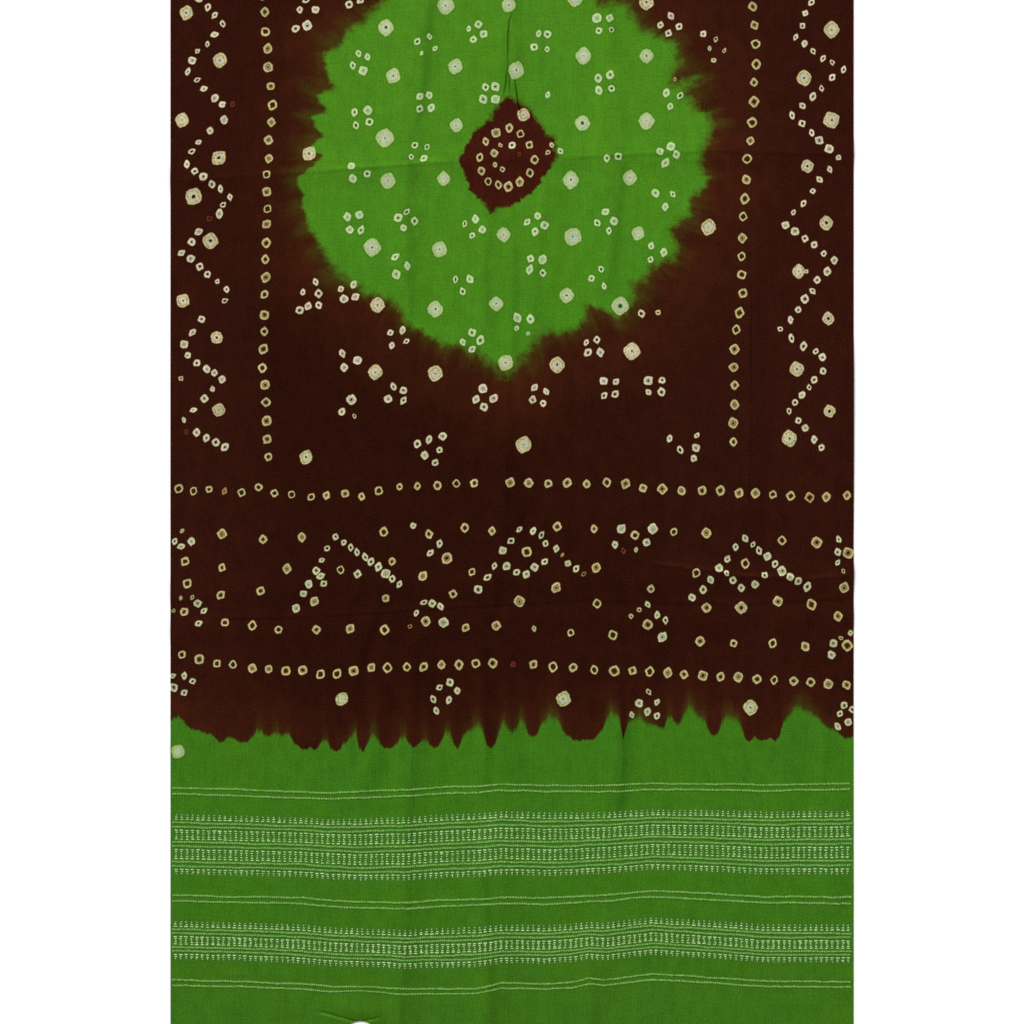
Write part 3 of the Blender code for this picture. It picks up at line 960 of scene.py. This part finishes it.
def node(word, *values, stops=(), **settings):
    """Adds a node to the material in hand, whose tree is called tree, and hands back its result.

    A value is a number, a colour's code or the result of another node. A ramp takes stops: the
    place of each along the ramp, and its colour.
    """
    kind, usual_settings, places, output = NODES[word]
    new = tree.nodes.new("ShaderNode" + kind)
    for name, setting in {**usual_settings, **settings}.items():
        setattr(new, name, setting)
    for place, value in zip(places, values):
        if isinstance(value, bpy.types.NodeSocket):
            tree.links.new(value, new.inputs[place])
        else:
            new.inputs[place].default_value = linear(value) if isinstance(value, str) else value
    for number, (position, code) in enumerate(stops):
        elements = new.color_ramp.elements
        stop = elements[number] if number < 2 else elements.new(position)
        stop.position = position
        stop.color = linear(code)
    return new if output is None else new.outputs[output]


print(len(NODES), "words stand for a node")

# %% [markdown]
# ## Dyed wool
# The material is built in the order of the craft: plain woven wool, the green dye, the brown over
# it, and then the ties, which kept both dyes out. All patterns read the object's own coordinates or
# the maps stored above, so nothing slides.

# %% Start of the cloth's material
WOOL_ROUGHNESS = 0.92
WOOL_GLOSS = 0.02
SAME_THROUGH = 50.0
wool, wool_shader = start_material("tie_dyed_wool", WOOL_ROUGHNESS, WOOL_GLOSS)
tree = wool.node_tree
place_mm = node("vector_scale", node("own_place"), 1.0 / MM)
place_parts = node("axes", place_mm)
across_mm, along_mm = place_parts.outputs["X"], place_parts.outputs["Y"]


def uneven(across, along, detail=2.0, roughness=0.5, offset=0.0):
    """Noise about 0 in patches of a size in millimetres across and along the cloth.

    It hardly changes through the cloth, so that both sides have the same dye.
    """
    size = (1.0 / across, 1.0 / along, 1.0 / SAME_THROUGH)
    place = node("stretched", place_mm, (offset, offset, 0.0), size)
    return node("subtract", node("noise", place, 1.0, detail, roughness), 0.5)


def edge_share(depth, softness):
    """Turns a depth inside an edge into a share, softly over the edge."""
    return node("smoothstep", depth, node("multiply", softness, -1.0), softness)


print("the material starts with", len(tree.nodes), "nodes")

# %% [markdown]
# Creeping dye leaves streaks that run outwards from the medallion, and straight down at the green
# end, because that is how the folds were gathered. Noise is stretched along those directions: round
# the medallion it is read on a cone of direction and distance, so it has no seam.

# %% Streaks of creeping dye
MEDALLION_RADIUS = 190.0
from_centre = node("vector_subtract", place_mm, (*MEDALLION_CENTRE, 0.0))
from_centre = node("vector_multiply", from_centre, (1.0, 1.0, 0.0))
distance = node("vector_length", from_centre)
direction = node("vector_normalize", from_centre)


def radial_streaks(width, length, detail):
    """Noise about 0 in outward streaks: their width at the medallion's rim, and their length."""
    spread = node("vector_scale", direction, MEDALLION_RADIUS / width)
    place = node("vector_add", spread, node("upward", node("multiply", distance, 1.0 / length)))
    return node("subtract", node("noise", place, 1.0, detail, 0.55), 0.5)


fine_streaks = radial_streaks(3.2, 26.0, 3.0)
broad_streaks = radial_streaks(13.0, 60.0, 2.0)
down_streaks = uneven(2.6, 26.0, 3.0, 0.55)
thin_down_streaks = uneven(1.1, 12.0, 1.0, 0.5, 13.0)
broad_down_streaks = uneven(15.0, 60.0, 2.0, 0.5, 7.0)
blots = uneven(8.0, 8.0, 3.0, 0.6, 41.0)
print("with the streaks it has", len(tree.nodes))

# %% [markdown]
# An edge is soft by as much as the dye crept there. Streaks and blots push it in and out, and the
# softer it is, the further they push. Each push is worked out in millimetres and added to the depth
# inside the outline. The heart was bound in one pinch, so it bled little, and most at its upper
# right side.

# %% Shares of green
medallion_softness = node("stored", attribute_name="medallion_bleed")
medallion_depth = node("stored", attribute_name="in_medallion")
streak_push = node("multiply", fine_streaks, node("multiply_add", medallion_softness, 0.4, 3.2))
blot_reach = node("multiply_add", medallion_softness, 2.0, 1.5)
medallion_push = node("multiply_add", blots, blot_reach, streak_push)
swayed_depth = node("multiply_add", broad_streaks, 9.0, medallion_depth)
medallion_edge = node("add", swayed_depth, medallion_push)
medallion_edge = node("subtract", medallion_edge, 0.6)
medallion_share = edge_share(medallion_edge, medallion_softness)

end_softness = node("stored", attribute_name="end_bleed")
end_depth = node("stored", attribute_name="in_green_end")
end_push = node("multiply", down_streaks, node("multiply_add", end_softness, 1.5, 2.4))
thin_reach = node("multiply_add", end_softness, 0.5, 1.4)
end_push = node("multiply_add", thin_down_streaks, thin_reach, end_push)
end_push = node("multiply_add", end_softness, -0.45, end_push)
end_edge = node("add", end_depth, end_push)
end_share = edge_share(end_edge, end_softness)

HEART_SIDE = (382.0, 405.0)
heart_edge = node("multiply_add", fine_streaks, 5.0, node("stored", attribute_name="in_heart"))
heart_edge = node("multiply_add", uneven(5.0, 5.0, 3.0, 0.6, 31.0), 9.0, heart_edge)
heart_bleed = node("smoothstep", uneven(30.0, 30.0, 1.0, 0.5, 37.0), -0.05, 0.15, 1.0, 3.2)
upper_right_of_heart = node("smoothstep", node("add", across_mm, along_mm), *HEART_SIDE)
heart_bleed = node("multiply_add", upper_right_of_heart, 3.0, heart_bleed)
heart_share = edge_share(heart_edge, heart_bleed)
outside_heart = node("subtract", 1.0, heart_share)

green_share = node("multiply", node("maximum", medallion_share, end_share), outside_heart)
print("with the edges of the green it has", len(tree.nodes))

# %% [markdown]
# The green is bright and yellowish in the medallion and darker towards the end, with bluish and
# yellowish patches of uneven dye. The brown dye is uneven too: almost black in the middle of the
# cloth, redder towards the sides and in the heart, and it glows a little where the green lies near.

# %% Green and brown
GREENS = ((0.0, "#325c0d"), (0.075, "#33650d"), (0.47, "#33690f"), (0.73, "#437d14"),
          (1.0, "#4b8418"))
half_length = CLOTH_LENGTH / 2
green_along = node("ramp", node("smoothstep", along_mm, -half_length, half_length), stops=GREENS)
green_mottle = node("add", uneven(55.0, 55.0), 0.5)
green_dye = node("mix", node("multiply", green_mottle, 0.35), green_along, "#3c7512")
broad_blue_patches = uneven(60.0, 90.0, 1.0, 0.5, 47.0)
blue_patches = node("multiply_add", broad_blue_patches, 0.4, uneven(9.0, 9.0, 5.0, 0.85, 43.0))
bluish = node("smoothstep", blue_patches, -0.25, 0.45, 0.0, 0.5)
green_dye = node("mix", bluish, green_dye, "#2f6c1f")
yellowish = node("smoothstep", blue_patches, 0.25, -0.45, 0.0, 0.45)
green_dye = node("mix", yellowish, green_dye, "#47740c")

brown_right = node("smoothstep", across_mm, -120.0, 300.0)
brown_right = node("multiply", brown_right, node("smoothstep", along_mm, -60.0, 140.0, 0.55, 1.0))
brown_left = node("smoothstep", across_mm, -170.0, -310.0, 0.0, 0.9)
brown_patches = node("multiply", uneven(90.0, 130.0, 2.0, 0.5, 3.0), 0.9)
brown_share = node("add", node("maximum", brown_right, brown_left), brown_patches)
brown_dye = node("mix", node("smoothstep", brown_share, 0.0, 1.1), "#280c05", "#2f1008")
medallion_glow = node("smoothstep", medallion_depth, -90.0, -12.0)
end_glow = node("smoothstep", end_depth, -60.0, -5.0, 0.0, 0.7)
glow_patches = node("add", uneven(70.0, 70.0, 1.0, 0.5, 53.0), 0.5)
glow = node("multiply", node("maximum", medallion_glow, end_glow), glow_patches)
brown_dye = node("mix", node("multiply", glow, 0.8), brown_dye, "#441c0b")
brown_dye = node("mix", heart_share, brown_dye, "#39130a")
print("with both dyes it has", len(tree.nodes))

# %% [markdown]
# Outside the green a thin olive veil fades into the brown, where a little green shows through. It
# is broken by the broad streaks, and it is widest where the edge bled most.

# %% Veil and ground
swayed_edge = node("multiply_add", broad_streaks, 40.0, medallion_edge)
medallion_veil = node("smoothstep", swayed_edge, -30.0, 6.0)
swayed_edge = node("multiply_add", broad_down_streaks, 26.0, end_edge)
end_veil = node("smoothstep", swayed_edge, -26.0, 4.0)
end_veil = node("multiply", end_veil, node("smoothstep", end_softness, 1.2, 4.0, 0.2, 1.0))
veil = node("power", node("maximum", medallion_veil, end_veil), 2.0)
veil = node("multiply", veil, node("multiply", outside_heart, 0.24))
brown_dye = node("mix", veil, brown_dye, "#52621a")
ground = node("mix", green_share, brown_dye, green_dye)
print("with the ground it has", len(tree.nodes))

# %% [markdown]
# Wool yarn is uneven, so the threads show as faint streaks along and across. The real threads are
# about 0.4 mm apart, which is finer than the picture can show, so the streaks are 1.3 mm wide.
# They follow the flat map, which bends with the weft. Over them lie a cloudiness of the dye and a
# thin grey fuzz of fibre ends, which lightens the darkest colours most.

# %% Threads
THREAD_WIDTH = 1.3
flat_place = node("map_place", uv_map="flat_cloth")


def threads(width, length, offset=0.0):
    """Streaks of yarn about 0: their width and length in millimetres across and along the cloth."""
    size = (1.0 / (width * MM), 1.0 / (length * MM), 1.0)
    place = node("stretched", flat_place, (offset, offset, 0.0), size)
    return node("subtract", node("flat_noise", place, 1.0, 1.0), 0.5)


warp_streaks = threads(THREAD_WIDTH, 45.0)
weft_streaks = threads(40.0, THREAD_WIDTH, 5.0)
grain = threads(1.6, 1.6, 11.0)
mottle_depth = node("multiply_add", green_share, -0.4, 0.9)
thread_light = node("multiply_add", uneven(12.0, 18.0, 4.0, 0.65, 61.0), mottle_depth, 1.0)
for streaks, depth in ((warp_streaks, 0.2), (weft_streaks, 0.15), (grain, 0.5)):
    thread_light = node("multiply_add", streaks, depth, thread_light)
fuzz = node("maximum", node("multiply_add", grain, 0.11, 0.01), 0.0)
fuzz = node("multiply", fuzz, node("multiply_add", green_share, 0.75, 0.25))
print("with the threads it has", len(tree.nodes))

# %% [markdown]
# A dot's outline is a rounded diamond, because the cloth was pinched at a corner of its weave. The
# distance that gives one lies between the city-block distance and the plain one. It is 1 on the
# rim. Noise moves each place a little first, so no rim is even. Of the two dots stored at each
# corner, the one whose rim is nearer wins.

# %% Nearest dot
DIAMOND = 1.48
WOBBLE = 1.9
WOBBLE_SIZE = 3.4
wobble = node("vector_noise", node("vector_scale", place_mm, 1.0 / WOBBLE_SIZE), 1.0, 1.0)
wobble = node("vector_subtract", wobble, (0.5, 0.5, 0.5))


def rim_distance(name, stored_look):
    """How far from a stored dot's middle a place lies, with its rim at 1."""
    stored_radius = node("channels", stored_look.outputs["Color"]).outputs["Red"]
    pushed = node("vector_scale", wobble, node("divide", WOBBLE * LOOK_SCALE, stored_radius))
    place = node("vector_add", node("map_place", uv_map="place_in_" + name), pushed)
    parts = node("axes", node("vector_absolute", place))
    powers = [node("power", parts.outputs[axis], DIAMOND) for axis in ("X", "Y")]
    return node("power", node("add", *powers), 1.0 / DIAMOND)


nearest_look = node("stored_look", attribute_name="look_of_nearest_tie")
next_look = node("stored_look", attribute_name="look_of_next_tie")
nearest_rim = rim_distance("nearest_tie", nearest_look)
next_rim = rim_distance("next_tie", next_look)
next_wins = node("greater_than", nearest_rim, next_rim)
rim = node("minimum", nearest_rim, next_rim)
look = node("mix", next_wins, nearest_look.outputs["Color"], next_look.outputs["Color"])
look = node("channels", look)
radius = node("multiply", look.outputs["Red"], 1.0 / LOOK_SCALE)
middle_radius = node("multiply", look.outputs["Green"], 1.0 / LOOK_SCALE)
whiteness = look.outputs["Blue"]
strength = node("mix_numbers", next_wins, nearest_look.outputs["Alpha"], next_look.outputs["Alpha"])
print("with the dots' places it has", len(tree.nodes))

# %% [markdown]
# From the rim inwards a dot has a dull edge, a bright crest where the thread held tightest, a
# darker foot where it cut in, and a dark point. Those are widths of thread, nearly the same in
# millimetres on every dot, so one table gives where each part begins to show and where it shows in
# full, inwards from the rim. On a large dot there is room for a thin line of thread marks and a
# pale field inside it, and its rim is blotched with green.

# %% Parts of a dot
PART_EDGES = {
    # part: millimetres inside the rim where it begins to show, and where it shows in full
    "dark_round_dot": (-1.7, -0.4),
    "dull_edge": (0.9, 0.1),
    "foot": (1.2, 2.3),
    "field": (2.2, 3.2),
    "line_from_outside": (1.7, 2.3),
    "line_from_inside": (3.1, 2.5),
    "near_rim": (4.8, 3.0),
    "inner_part": (1.2, 3.2),
}
HALO_FROM_MIDDLE = (3.4, 1.4)
LARGE_RADII = (5.9, 6.5)
from_rim = node("multiply", node("subtract", 1.0, rim), radius)
from_middle = node("multiply", rim, radius)
is_large = node("smoothstep", radius, *LARGE_RADII)
on_green = node("multiply", green_share, is_large)
specks = node("add", uneven(1.6, 1.6, 2.0, 0.6, 17.0), 0.5)
dot_share = edge_share(from_rim, node("multiply_add", green_share, 0.35, 0.5))
dot_share = node("multiply", dot_share, strength)
dark_round_dot = node("smoothstep", from_rim, *PART_EDGES["dark_round_dot"])
dark_round_dot = node("multiply", dark_round_dot, node("subtract", 1.0, dot_share))

dull_edge = node("smoothstep", from_rim, *PART_EDGES["dull_edge"])
foot_share = node("smoothstep", from_rim, *PART_EDGES["foot"])
foot_share = node("multiply", foot_share, node("subtract", 1.0, is_large))
field_share = node("multiply", node("smoothstep", from_rim, *PART_EDGES["field"]), is_large)
from_line = node("multiply_add", uneven(3.0, 3.0, 1.0, 0.5, 67.0), 2.4, from_rim)
line_share = node("smoothstep", from_line, *PART_EDGES["line_from_outside"])
line_end = node("smoothstep", from_line, *PART_EDGES["line_from_inside"])
line_share = node("multiply", line_share, line_end)
line_share = node("multiply", line_share, node("smoothstep", specks, 0.38, 0.6, 0.05, 1.0))
line_share = node("multiply", line_share, node("multiply_add", on_green, -0.55, is_large))
blotches = uneven(2.6, 2.6, 2.0, 0.6, 71.0)
near_rim = node("multiply", node("smoothstep", from_rim, *PART_EDGES["near_rim"]), is_large)
tan_blotches = node("smoothstep", blotches, 0.0, 0.13)
tan_marks = node("multiply", tan_blotches, node("multiply", near_rim, on_green))
green_marks = node("multiply", node("smoothstep", blotches, -0.04, -0.15), near_rim)
point_halo = node("multiply", node("smoothstep", from_middle, *HALO_FROM_MIDDLE), on_green)
inner_part = node("multiply", is_large, node("smoothstep", from_rim, *PART_EDGES["inner_part"]))
green_stain = node("multiply", green_share, node("multiply_add", inner_part, -0.22, 0.36))
lower_whites = node("smoothstep", along_mm, 200.0, -130.0)
lower_whites = node("multiply", lower_whites, node("smoothstep", whiteness, 0.5, 0.62))
point_out, point_in = node("add", middle_radius, 0.4), node("subtract", middle_radius, 0.35)
point_share = node("smoothstep", from_middle, point_out, point_in)
print("with the parts of a dot it has", len(tree.nodes))

# %% [markdown]
# A whiter dot has a whiter crest and foot, so both colours come from a ramp. The other colours are
# laid over them one by one, each with its share. On the green the rim is duller and marked with
# tan, a bluish halo stands round the point, and the green stains everything a little. The point
# itself is the ground that shows through a film of thread dust.

# %% Colours of a dot
CREST = ((0.0, "#8a3f2a"), (0.28, "#b08058"), (0.41, "#c0b585"), (0.66, "#c6ba8d"),
         (0.80, "#d4c8a8"), (1.0, "#dbd1b8"))
FOOT = ((0.0, "#6a2a1c"), (0.46, "#857445"), (1.0, "#aeab98"))
dulled = node("multiply", on_green, 0.75)
dot_colour = node("mix", dulled, node("ramp", whiteness, stops=CREST), "#adac7c")
point_film = node("tint", 1.0, ground, "#a8aaa0")
point_colour = node("mix", node("multiply_add", on_green, -0.3, 0.3), point_film, "#4c3a08")
layers_of_dot = (
    # how it is laid on, its share, its colour
    ("mix", foot_share, node("ramp", whiteness, stops=FOOT)),
    ("tint", dull_edge, node("mix", green_share, "#b3a778", "#b6d49a")),
    ("mix", node("multiply", field_share, 0.7), node("mix", on_green, "#bcb89e", "#b4b8a6")),
    ("mix", line_share, "#5f5c38"),
    ("tint", node("smoothstep", specks, 0.45, 0.75, 0.0, 0.5), "#c4b49a"),
    ("mix", node("multiply", tan_marks, 0.85), "#bf9c82"),
    ("mix", node("multiply", green_marks, 0.6), node("mix", on_green, "#8b8650", "#84a65e")),
    ("mix", node("multiply", point_halo, 0.4), "#bccbc2"),
    ("mix", green_stain, "#82d26c"),
    ("tint", lower_whites, "#e3f1e0"),
    ("mix", point_share, point_colour),
)
for how, share, colour in layers_of_dot:
    dot_colour = node(how, share, dot_colour, colour)
ground = node("mix", node("multiply", dark_round_dot, 0.35), ground, "#160a05")
cloth_colour = node("mix", dot_share, node("mix", fuzz, ground, "#7d8a70"), dot_colour)
print("with the dots' colours it has", len(tree.nodes))

# %% [markdown]
# Last the painted highlight and shade of the creases and the yarns' own light and dark are laid
# over the dyes. In the bands the ground is a little darker, and the pale weft shows through it.

# %% Painted crease light and shade over the dyes
BANDS = ((-285.0, -347.0), (-387.0, -428.0))
BAND_EDGE = 3.0
crease_shading_width = node("stored", attribute_name="crease_shading_width")
wander = node("multiply", uneven(22.0, 22.0, 3.0, 0.55, 29.0), node("multiply", crease_shading_width, 1.6))
crease_shading_side = node("add", node("stored", attribute_name="crease_shading_aside"), wander)
crease_shading_patches = node("multiply_add", uneven(34.0, 34.0, 2.0, 0.5, 23.0), 2.4, 0.85)
across_crease = node("divide", crease_shading_side, crease_shading_width)
# Painted highlight on the crest of each sharp crease.
crest_highlight = node("smoothstep", across_crease, -0.2, 0.4)
crest_highlight = node("multiply", crest_highlight, node("smoothstep", across_crease, 1.6, 0.5))
crest_highlight = node("multiply", crest_highlight, node("stored", attribute_name="crease_shading_pale"))
# Painted shade at the foot of each sharp crease.
foot_shade = node("smoothstep", across_crease, 0.2, -0.3)
foot_shade = node("multiply", foot_shade, node("smoothstep", across_crease, -1.3, -0.5))
foot_shade = node("multiply", foot_shade, node("stored", attribute_name="crease_shading_dark"))
crease_shading_and_band_tone = node("multiply_add", node("subtract", crest_highlight, foot_shade), crease_shading_patches, 1.0)
# Painted shade along the soft creases.
crease_shading_and_band_tone = node("subtract", crease_shading_and_band_tone, node("stored", attribute_name="soft_shade"))

flat_along = node("multiply", node("axes", flat_place).outputs["Y"], 1.0 / MM)
for band_end, band_start in BANDS:
    past_start = node("smoothstep", flat_along, band_start, band_start + BAND_EDGE)
    before_end = node("smoothstep", flat_along, band_end, band_end - BAND_EDGE)
    in_band = node("multiply", past_start, before_end)
    crease_shading_and_band_tone = node("multiply", crease_shading_and_band_tone, node("multiply_add", in_band, -0.07, 1.0))
    cloth_colour = node("mix", node("multiply", in_band, 0.03), cloth_colour, "#8e9286")
cloth_colour = node("vector_scale", cloth_colour, node("multiply", crease_shading_and_band_tone, thread_light))
print("with the wear it has", len(tree.nodes))

# %% [markdown]
# The surface itself: matt wool, so a high roughness and almost no gloss. A plain weave stands up
# where warp and weft cross, drawn at 1.25 mm instead of the real 0.4 mm so that it shows. Opened
# ties stand up a little, and their thread line is pressed in.

# %% Relief of the cloth
WEAVE_PITCH = 1.25
weave_parts = node("axes", node("vector_scale", flat_place, 2.0 * math.pi / (WEAVE_PITCH * MM)))
weave = node("multiply", *(node("sine", weave_parts.outputs[axis]) for axis in ("X", "Y")))
relief_mm = node("multiply", weave, 0.035)
both_streaks = node("add", warp_streaks, weft_streaks)
for part, height in ((both_streaks, 0.10), (dot_share, 0.22), (line_share, -0.12)):
    relief_mm = node("multiply_add", part, height, relief_mm)
relief = node("bump", node("multiply", relief_mm, MM), 1.0, 0.8)
tree.links.new(cloth_colour, wool_shader.inputs["Base Color"])
tree.links.new(relief, wool_shader.inputs["Normal"])
cloth.data.materials.clear()
cloth.data.materials.append(wool)
print("the cloth's material has", len(tree.nodes), "nodes in all")

# %% [markdown]
# ## Woven bands
# The green end has bands woven in with an extra, paler weft. It floats over a few warp threads at a
# time: short floats in rising and falling lengths make small triangles and hourglasses, and long
# rows of even stitches make the lines. They are real yarn, so they are real shapes here: one float
# is modelled and copied along the rows.

# %% Rows of the bands
OPEN_LINES = ((-262.7, -268.4), (-364.8, -370.3), (-445.2, -450.5))
BAND_LINES = ((-295.7, -299.6), (-314.0, -318.0), (-332.8, -336.9), (-397.3, -400.9),
              (-414.1, -417.7))
MOTIFS = (
    # pitch of the motifs, then each row: where along the cloth, length of its floats
    (5.15, ((-288.2, 1.2), (-290.4, 2.4), (-292.5, 3.8),
            (-302.7, 3.7), (-304.8, 2.5), (-306.9, 1.4), (-308.9, 2.5), (-311.0, 3.7),
            (-321.1, 3.7), (-323.2, 2.5), (-325.4, 1.4), (-327.5, 2.5), (-329.7, 3.7),
            (-340.0, 3.8), (-342.1, 2.4), (-344.0, 1.2))),
    (5.08, ((-390.0, 1.2), (-392.2, 2.4), (-394.3, 3.8),
            (-404.0, 3.8), (-405.8, 2.5), (-407.5, 1.4), (-409.2, 2.5), (-411.1, 3.7),
            (-420.8, 3.8), (-422.9, 2.4), (-424.8, 1.2))),
)
YARN = 1.3
LINE_YARN = 2.5
STITCH = 2.4
STITCH_OVERLAP = 0.35
SELVEDGE = 1.0
motif_rows_in_all = sum(len(motif_rows) for _, motif_rows in MOTIFS)
print(motif_rows_in_all, "rows of motifs and", len(OPEN_LINES + BAND_LINES), "pairs of lines")

# %% [markdown]
# A float starts as a four-sided ball. Its ends sink towards the cloth and its two rings move out to
# the shoulders, which leaves a short fat stitch of sixteen triangles. It is one unit long and one
# unit thick, ready to be stretched.

# %% One float
TIPS_START = 0.45
SHOULDERS = 0.34
TIP_HEIGHT = -0.35
bpy.ops.object.select_all(action="DESELECT")
bpy.ops.mesh.primitive_uv_sphere_add(segments=4, ring_count=3, radius=0.5)
float_start = bpy.context.active_object
bpy.ops.object.mode_set(mode="EDIT")
bpy.ops.mesh.select_all(action="SELECT")
bpy.ops.transform.rotate(value=math.pi / 2, orient_axis="Y", center_override=(0.0, 0.0, 0.0))
bpy.ops.object.mode_set(mode="OBJECT")
float_points = np.array([vertex.co[:] for vertex in float_start.data.vertices])
float_faces = [tuple(face.vertices) for face in float_start.data.polygons]
tips = np.abs(float_points[:, 0]) > TIPS_START
float_points[~tips, 0] = np.sign(float_points[~tips, 0]) * SHOULDERS
float_points[~tips, 1:] *= 0.5 / np.hypot(float_points[~tips, 1], float_points[~tips, 2])[:, None]
float_points[tips, 2] = TIP_HEIGHT
bpy.data.objects.remove(float_start)
print("one float has", len(float_points), "points and", len(float_faces), "faces")

# %% [markdown]
# The rows are made of thousands of floats, and one joined mesh for each kind keeps them light. Each
# float is stretched to its length, set on the flat cloth, and moved with the cloth as it lies. A
# float is never quite like the next: lengths and widths vary by a tenth or two, places by 0.2 mm.

# %% Yarn pieces
FLOAT_HEIGHT = 0.75 * YARN
FLOAT_LIFT = 0.30
YARN_RANGE = (0.86, 1.14)
FLOAT_RANGE = (0.88, 1.22)
FLOAT_SLIP = (0.22, 0.14)
STITCH_RANGE = (0.8, 1.3)
DRIFT_KEPT = 0.8
DRIFT_STEP = 0.13


def lay_floats(name, middles, lengths, yarn):
    """Copies the float to each place on the flat cloth, and lays it on the cloth's face."""
    middles = np.array(middles)
    lengths = np.array(lengths)
    count = len(middles)
    yarn = yarn * rng.uniform(*YARN_RANGE, count)
    along = float_points[None, :, 0] * lengths[:, None]
    flat_across = middles[:, 0, None] + along
    flat_along = middles[:, 1, None] + float_points[None, :, 1] * yarn[:, None]
    x, y = laid(flat_across, flat_along)
    surface = cloth_height(x, y) + CLOTH_THICKNESS
    z = surface + (float_points[None, :, 2] + FLOAT_LIFT) * FLOAT_HEIGHT
    points = np.stack([x, y, z], axis=2).reshape(-1, 3) * MM
    corners = [tuple(corner + number * len(float_points) for corner in face)
               for number in range(count) for face in float_faces]
    mesh = bpy.data.meshes.new(name)
    mesh.from_pydata(points.tolist(), [], corners)
    mesh.shade_smooth()
    piece = bpy.data.objects.new(name, mesh)
    bpy.context.scene.collection.objects.link(piece)
    print(name, "has", count, "floats")
    return piece


middles, lengths = [], []
for pitch, motif_rows in MOTIFS:
    motif_count = int((CLOTH_WIDTH - 2 * SELVEDGE) / pitch)
    for column in range(motif_count):
        across = pitch * (column - (motif_count - 1) / 2)
        for row, length in motif_rows:
            slip_across, slip_along = (rng.normal(0.0, spread) for spread in FLOAT_SLIP)
            middles.append((across + slip_across, row + slip_along))
            lengths.append(length * rng.uniform(*FLOAT_RANGE))
motifs = lay_floats("woven_motifs", middles, lengths, YARN)

middles, lengths, lower_lines = [], [], []
for upper, lower in OPEN_LINES + BAND_LINES:
    for row in (upper, lower):
        at = -CLOTH_WIDTH / 2 + SELVEDGE + rng.uniform(0.0, 1.0)
        drift = 0.0
        while at < CLOTH_WIDTH / 2 - SELVEDGE - STITCH:
            stitch = STITCH * rng.uniform(*STITCH_RANGE)
            drift = DRIFT_KEPT * drift + rng.normal(0.0, DRIFT_STEP)
            middles.append((at + stitch / 2, row + drift))
            lengths.append(stitch)
            lower_lines.append(row == lower and (upper, lower) in BAND_LINES)
            at += stitch - STITCH_OVERLAP
lines = lay_floats("woven_lines", middles, lengths, LINE_YARN)
lower_of_pair = lines.data.attributes.new("lower_of_pair", "FLOAT", "POINT")
lower_of_points = np.repeat(np.array(lower_lines, dtype=np.float32), len(float_points))
lower_of_pair.data.foreach_set("value", lower_of_points)

# %% [markdown]
# The extra weft took the green dye only lightly: it stays a pale green, nearly white on the long
# floats of the motifs and deeper in the lines, where the stitches are packed into the cloth.

# %% Yarn material
YARNS = (
    # material, piece, lighter and darker shade, size of their patches, colour of the lower lines
    ("pale_weft_yarn", motifs, "#b4d494", "#90bb70", 9.0, None),
    ("green_weft_yarn", lines, "#7eab53", "#588d39", 2.0, "#4f9650"),
)
FIBRE_SIZE = 0.6
LOWER_LINE_SHARE = 0.2
for name, piece, light, dark, patch, lower_line in YARNS:
    yarn, yarn_shader = start_material(name, 0.95, 0.0)
    tree = yarn.node_tree
    place = node("own_place")
    patches = node("noise", place, 1.0 / (patch * MM), 2.0)
    colour = node("mix", node("straight_step", patches, 0.36, 0.64), light, dark)
    if lower_line:
        is_lower = node("stored", attribute_name="lower_of_pair")
        colour = node("mix", node("multiply", is_lower, LOWER_LINE_SHARE), colour, lower_line)
    fibres = node("noise", place, 1.0 / (FIBRE_SIZE * MM), 2.0)
    tree.links.new(colour, yarn_shader.inputs["Base Color"])
    tree.links.new(node("bump", fibres, 0.1 * MM, 0.3), yarn_shader.inputs["Normal"])
    piece.data.materials.append(yarn)
    print(name, "has", len(tree.nodes), "nodes")

# %% [markdown]
# ## Handing the pieces to the frame
# The sheet stands for the plain solid, and the yarns go with it. The flat size is the cut size: the
# whole width of the loom and one metre of length.

# %% Attach the pieces and hide the solid
for piece, finish in ((cloth, "dyed_wool"), (motifs, "extra_weft"), (lines, "extra_weft")):
    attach(piece, "root")
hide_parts("cloth")
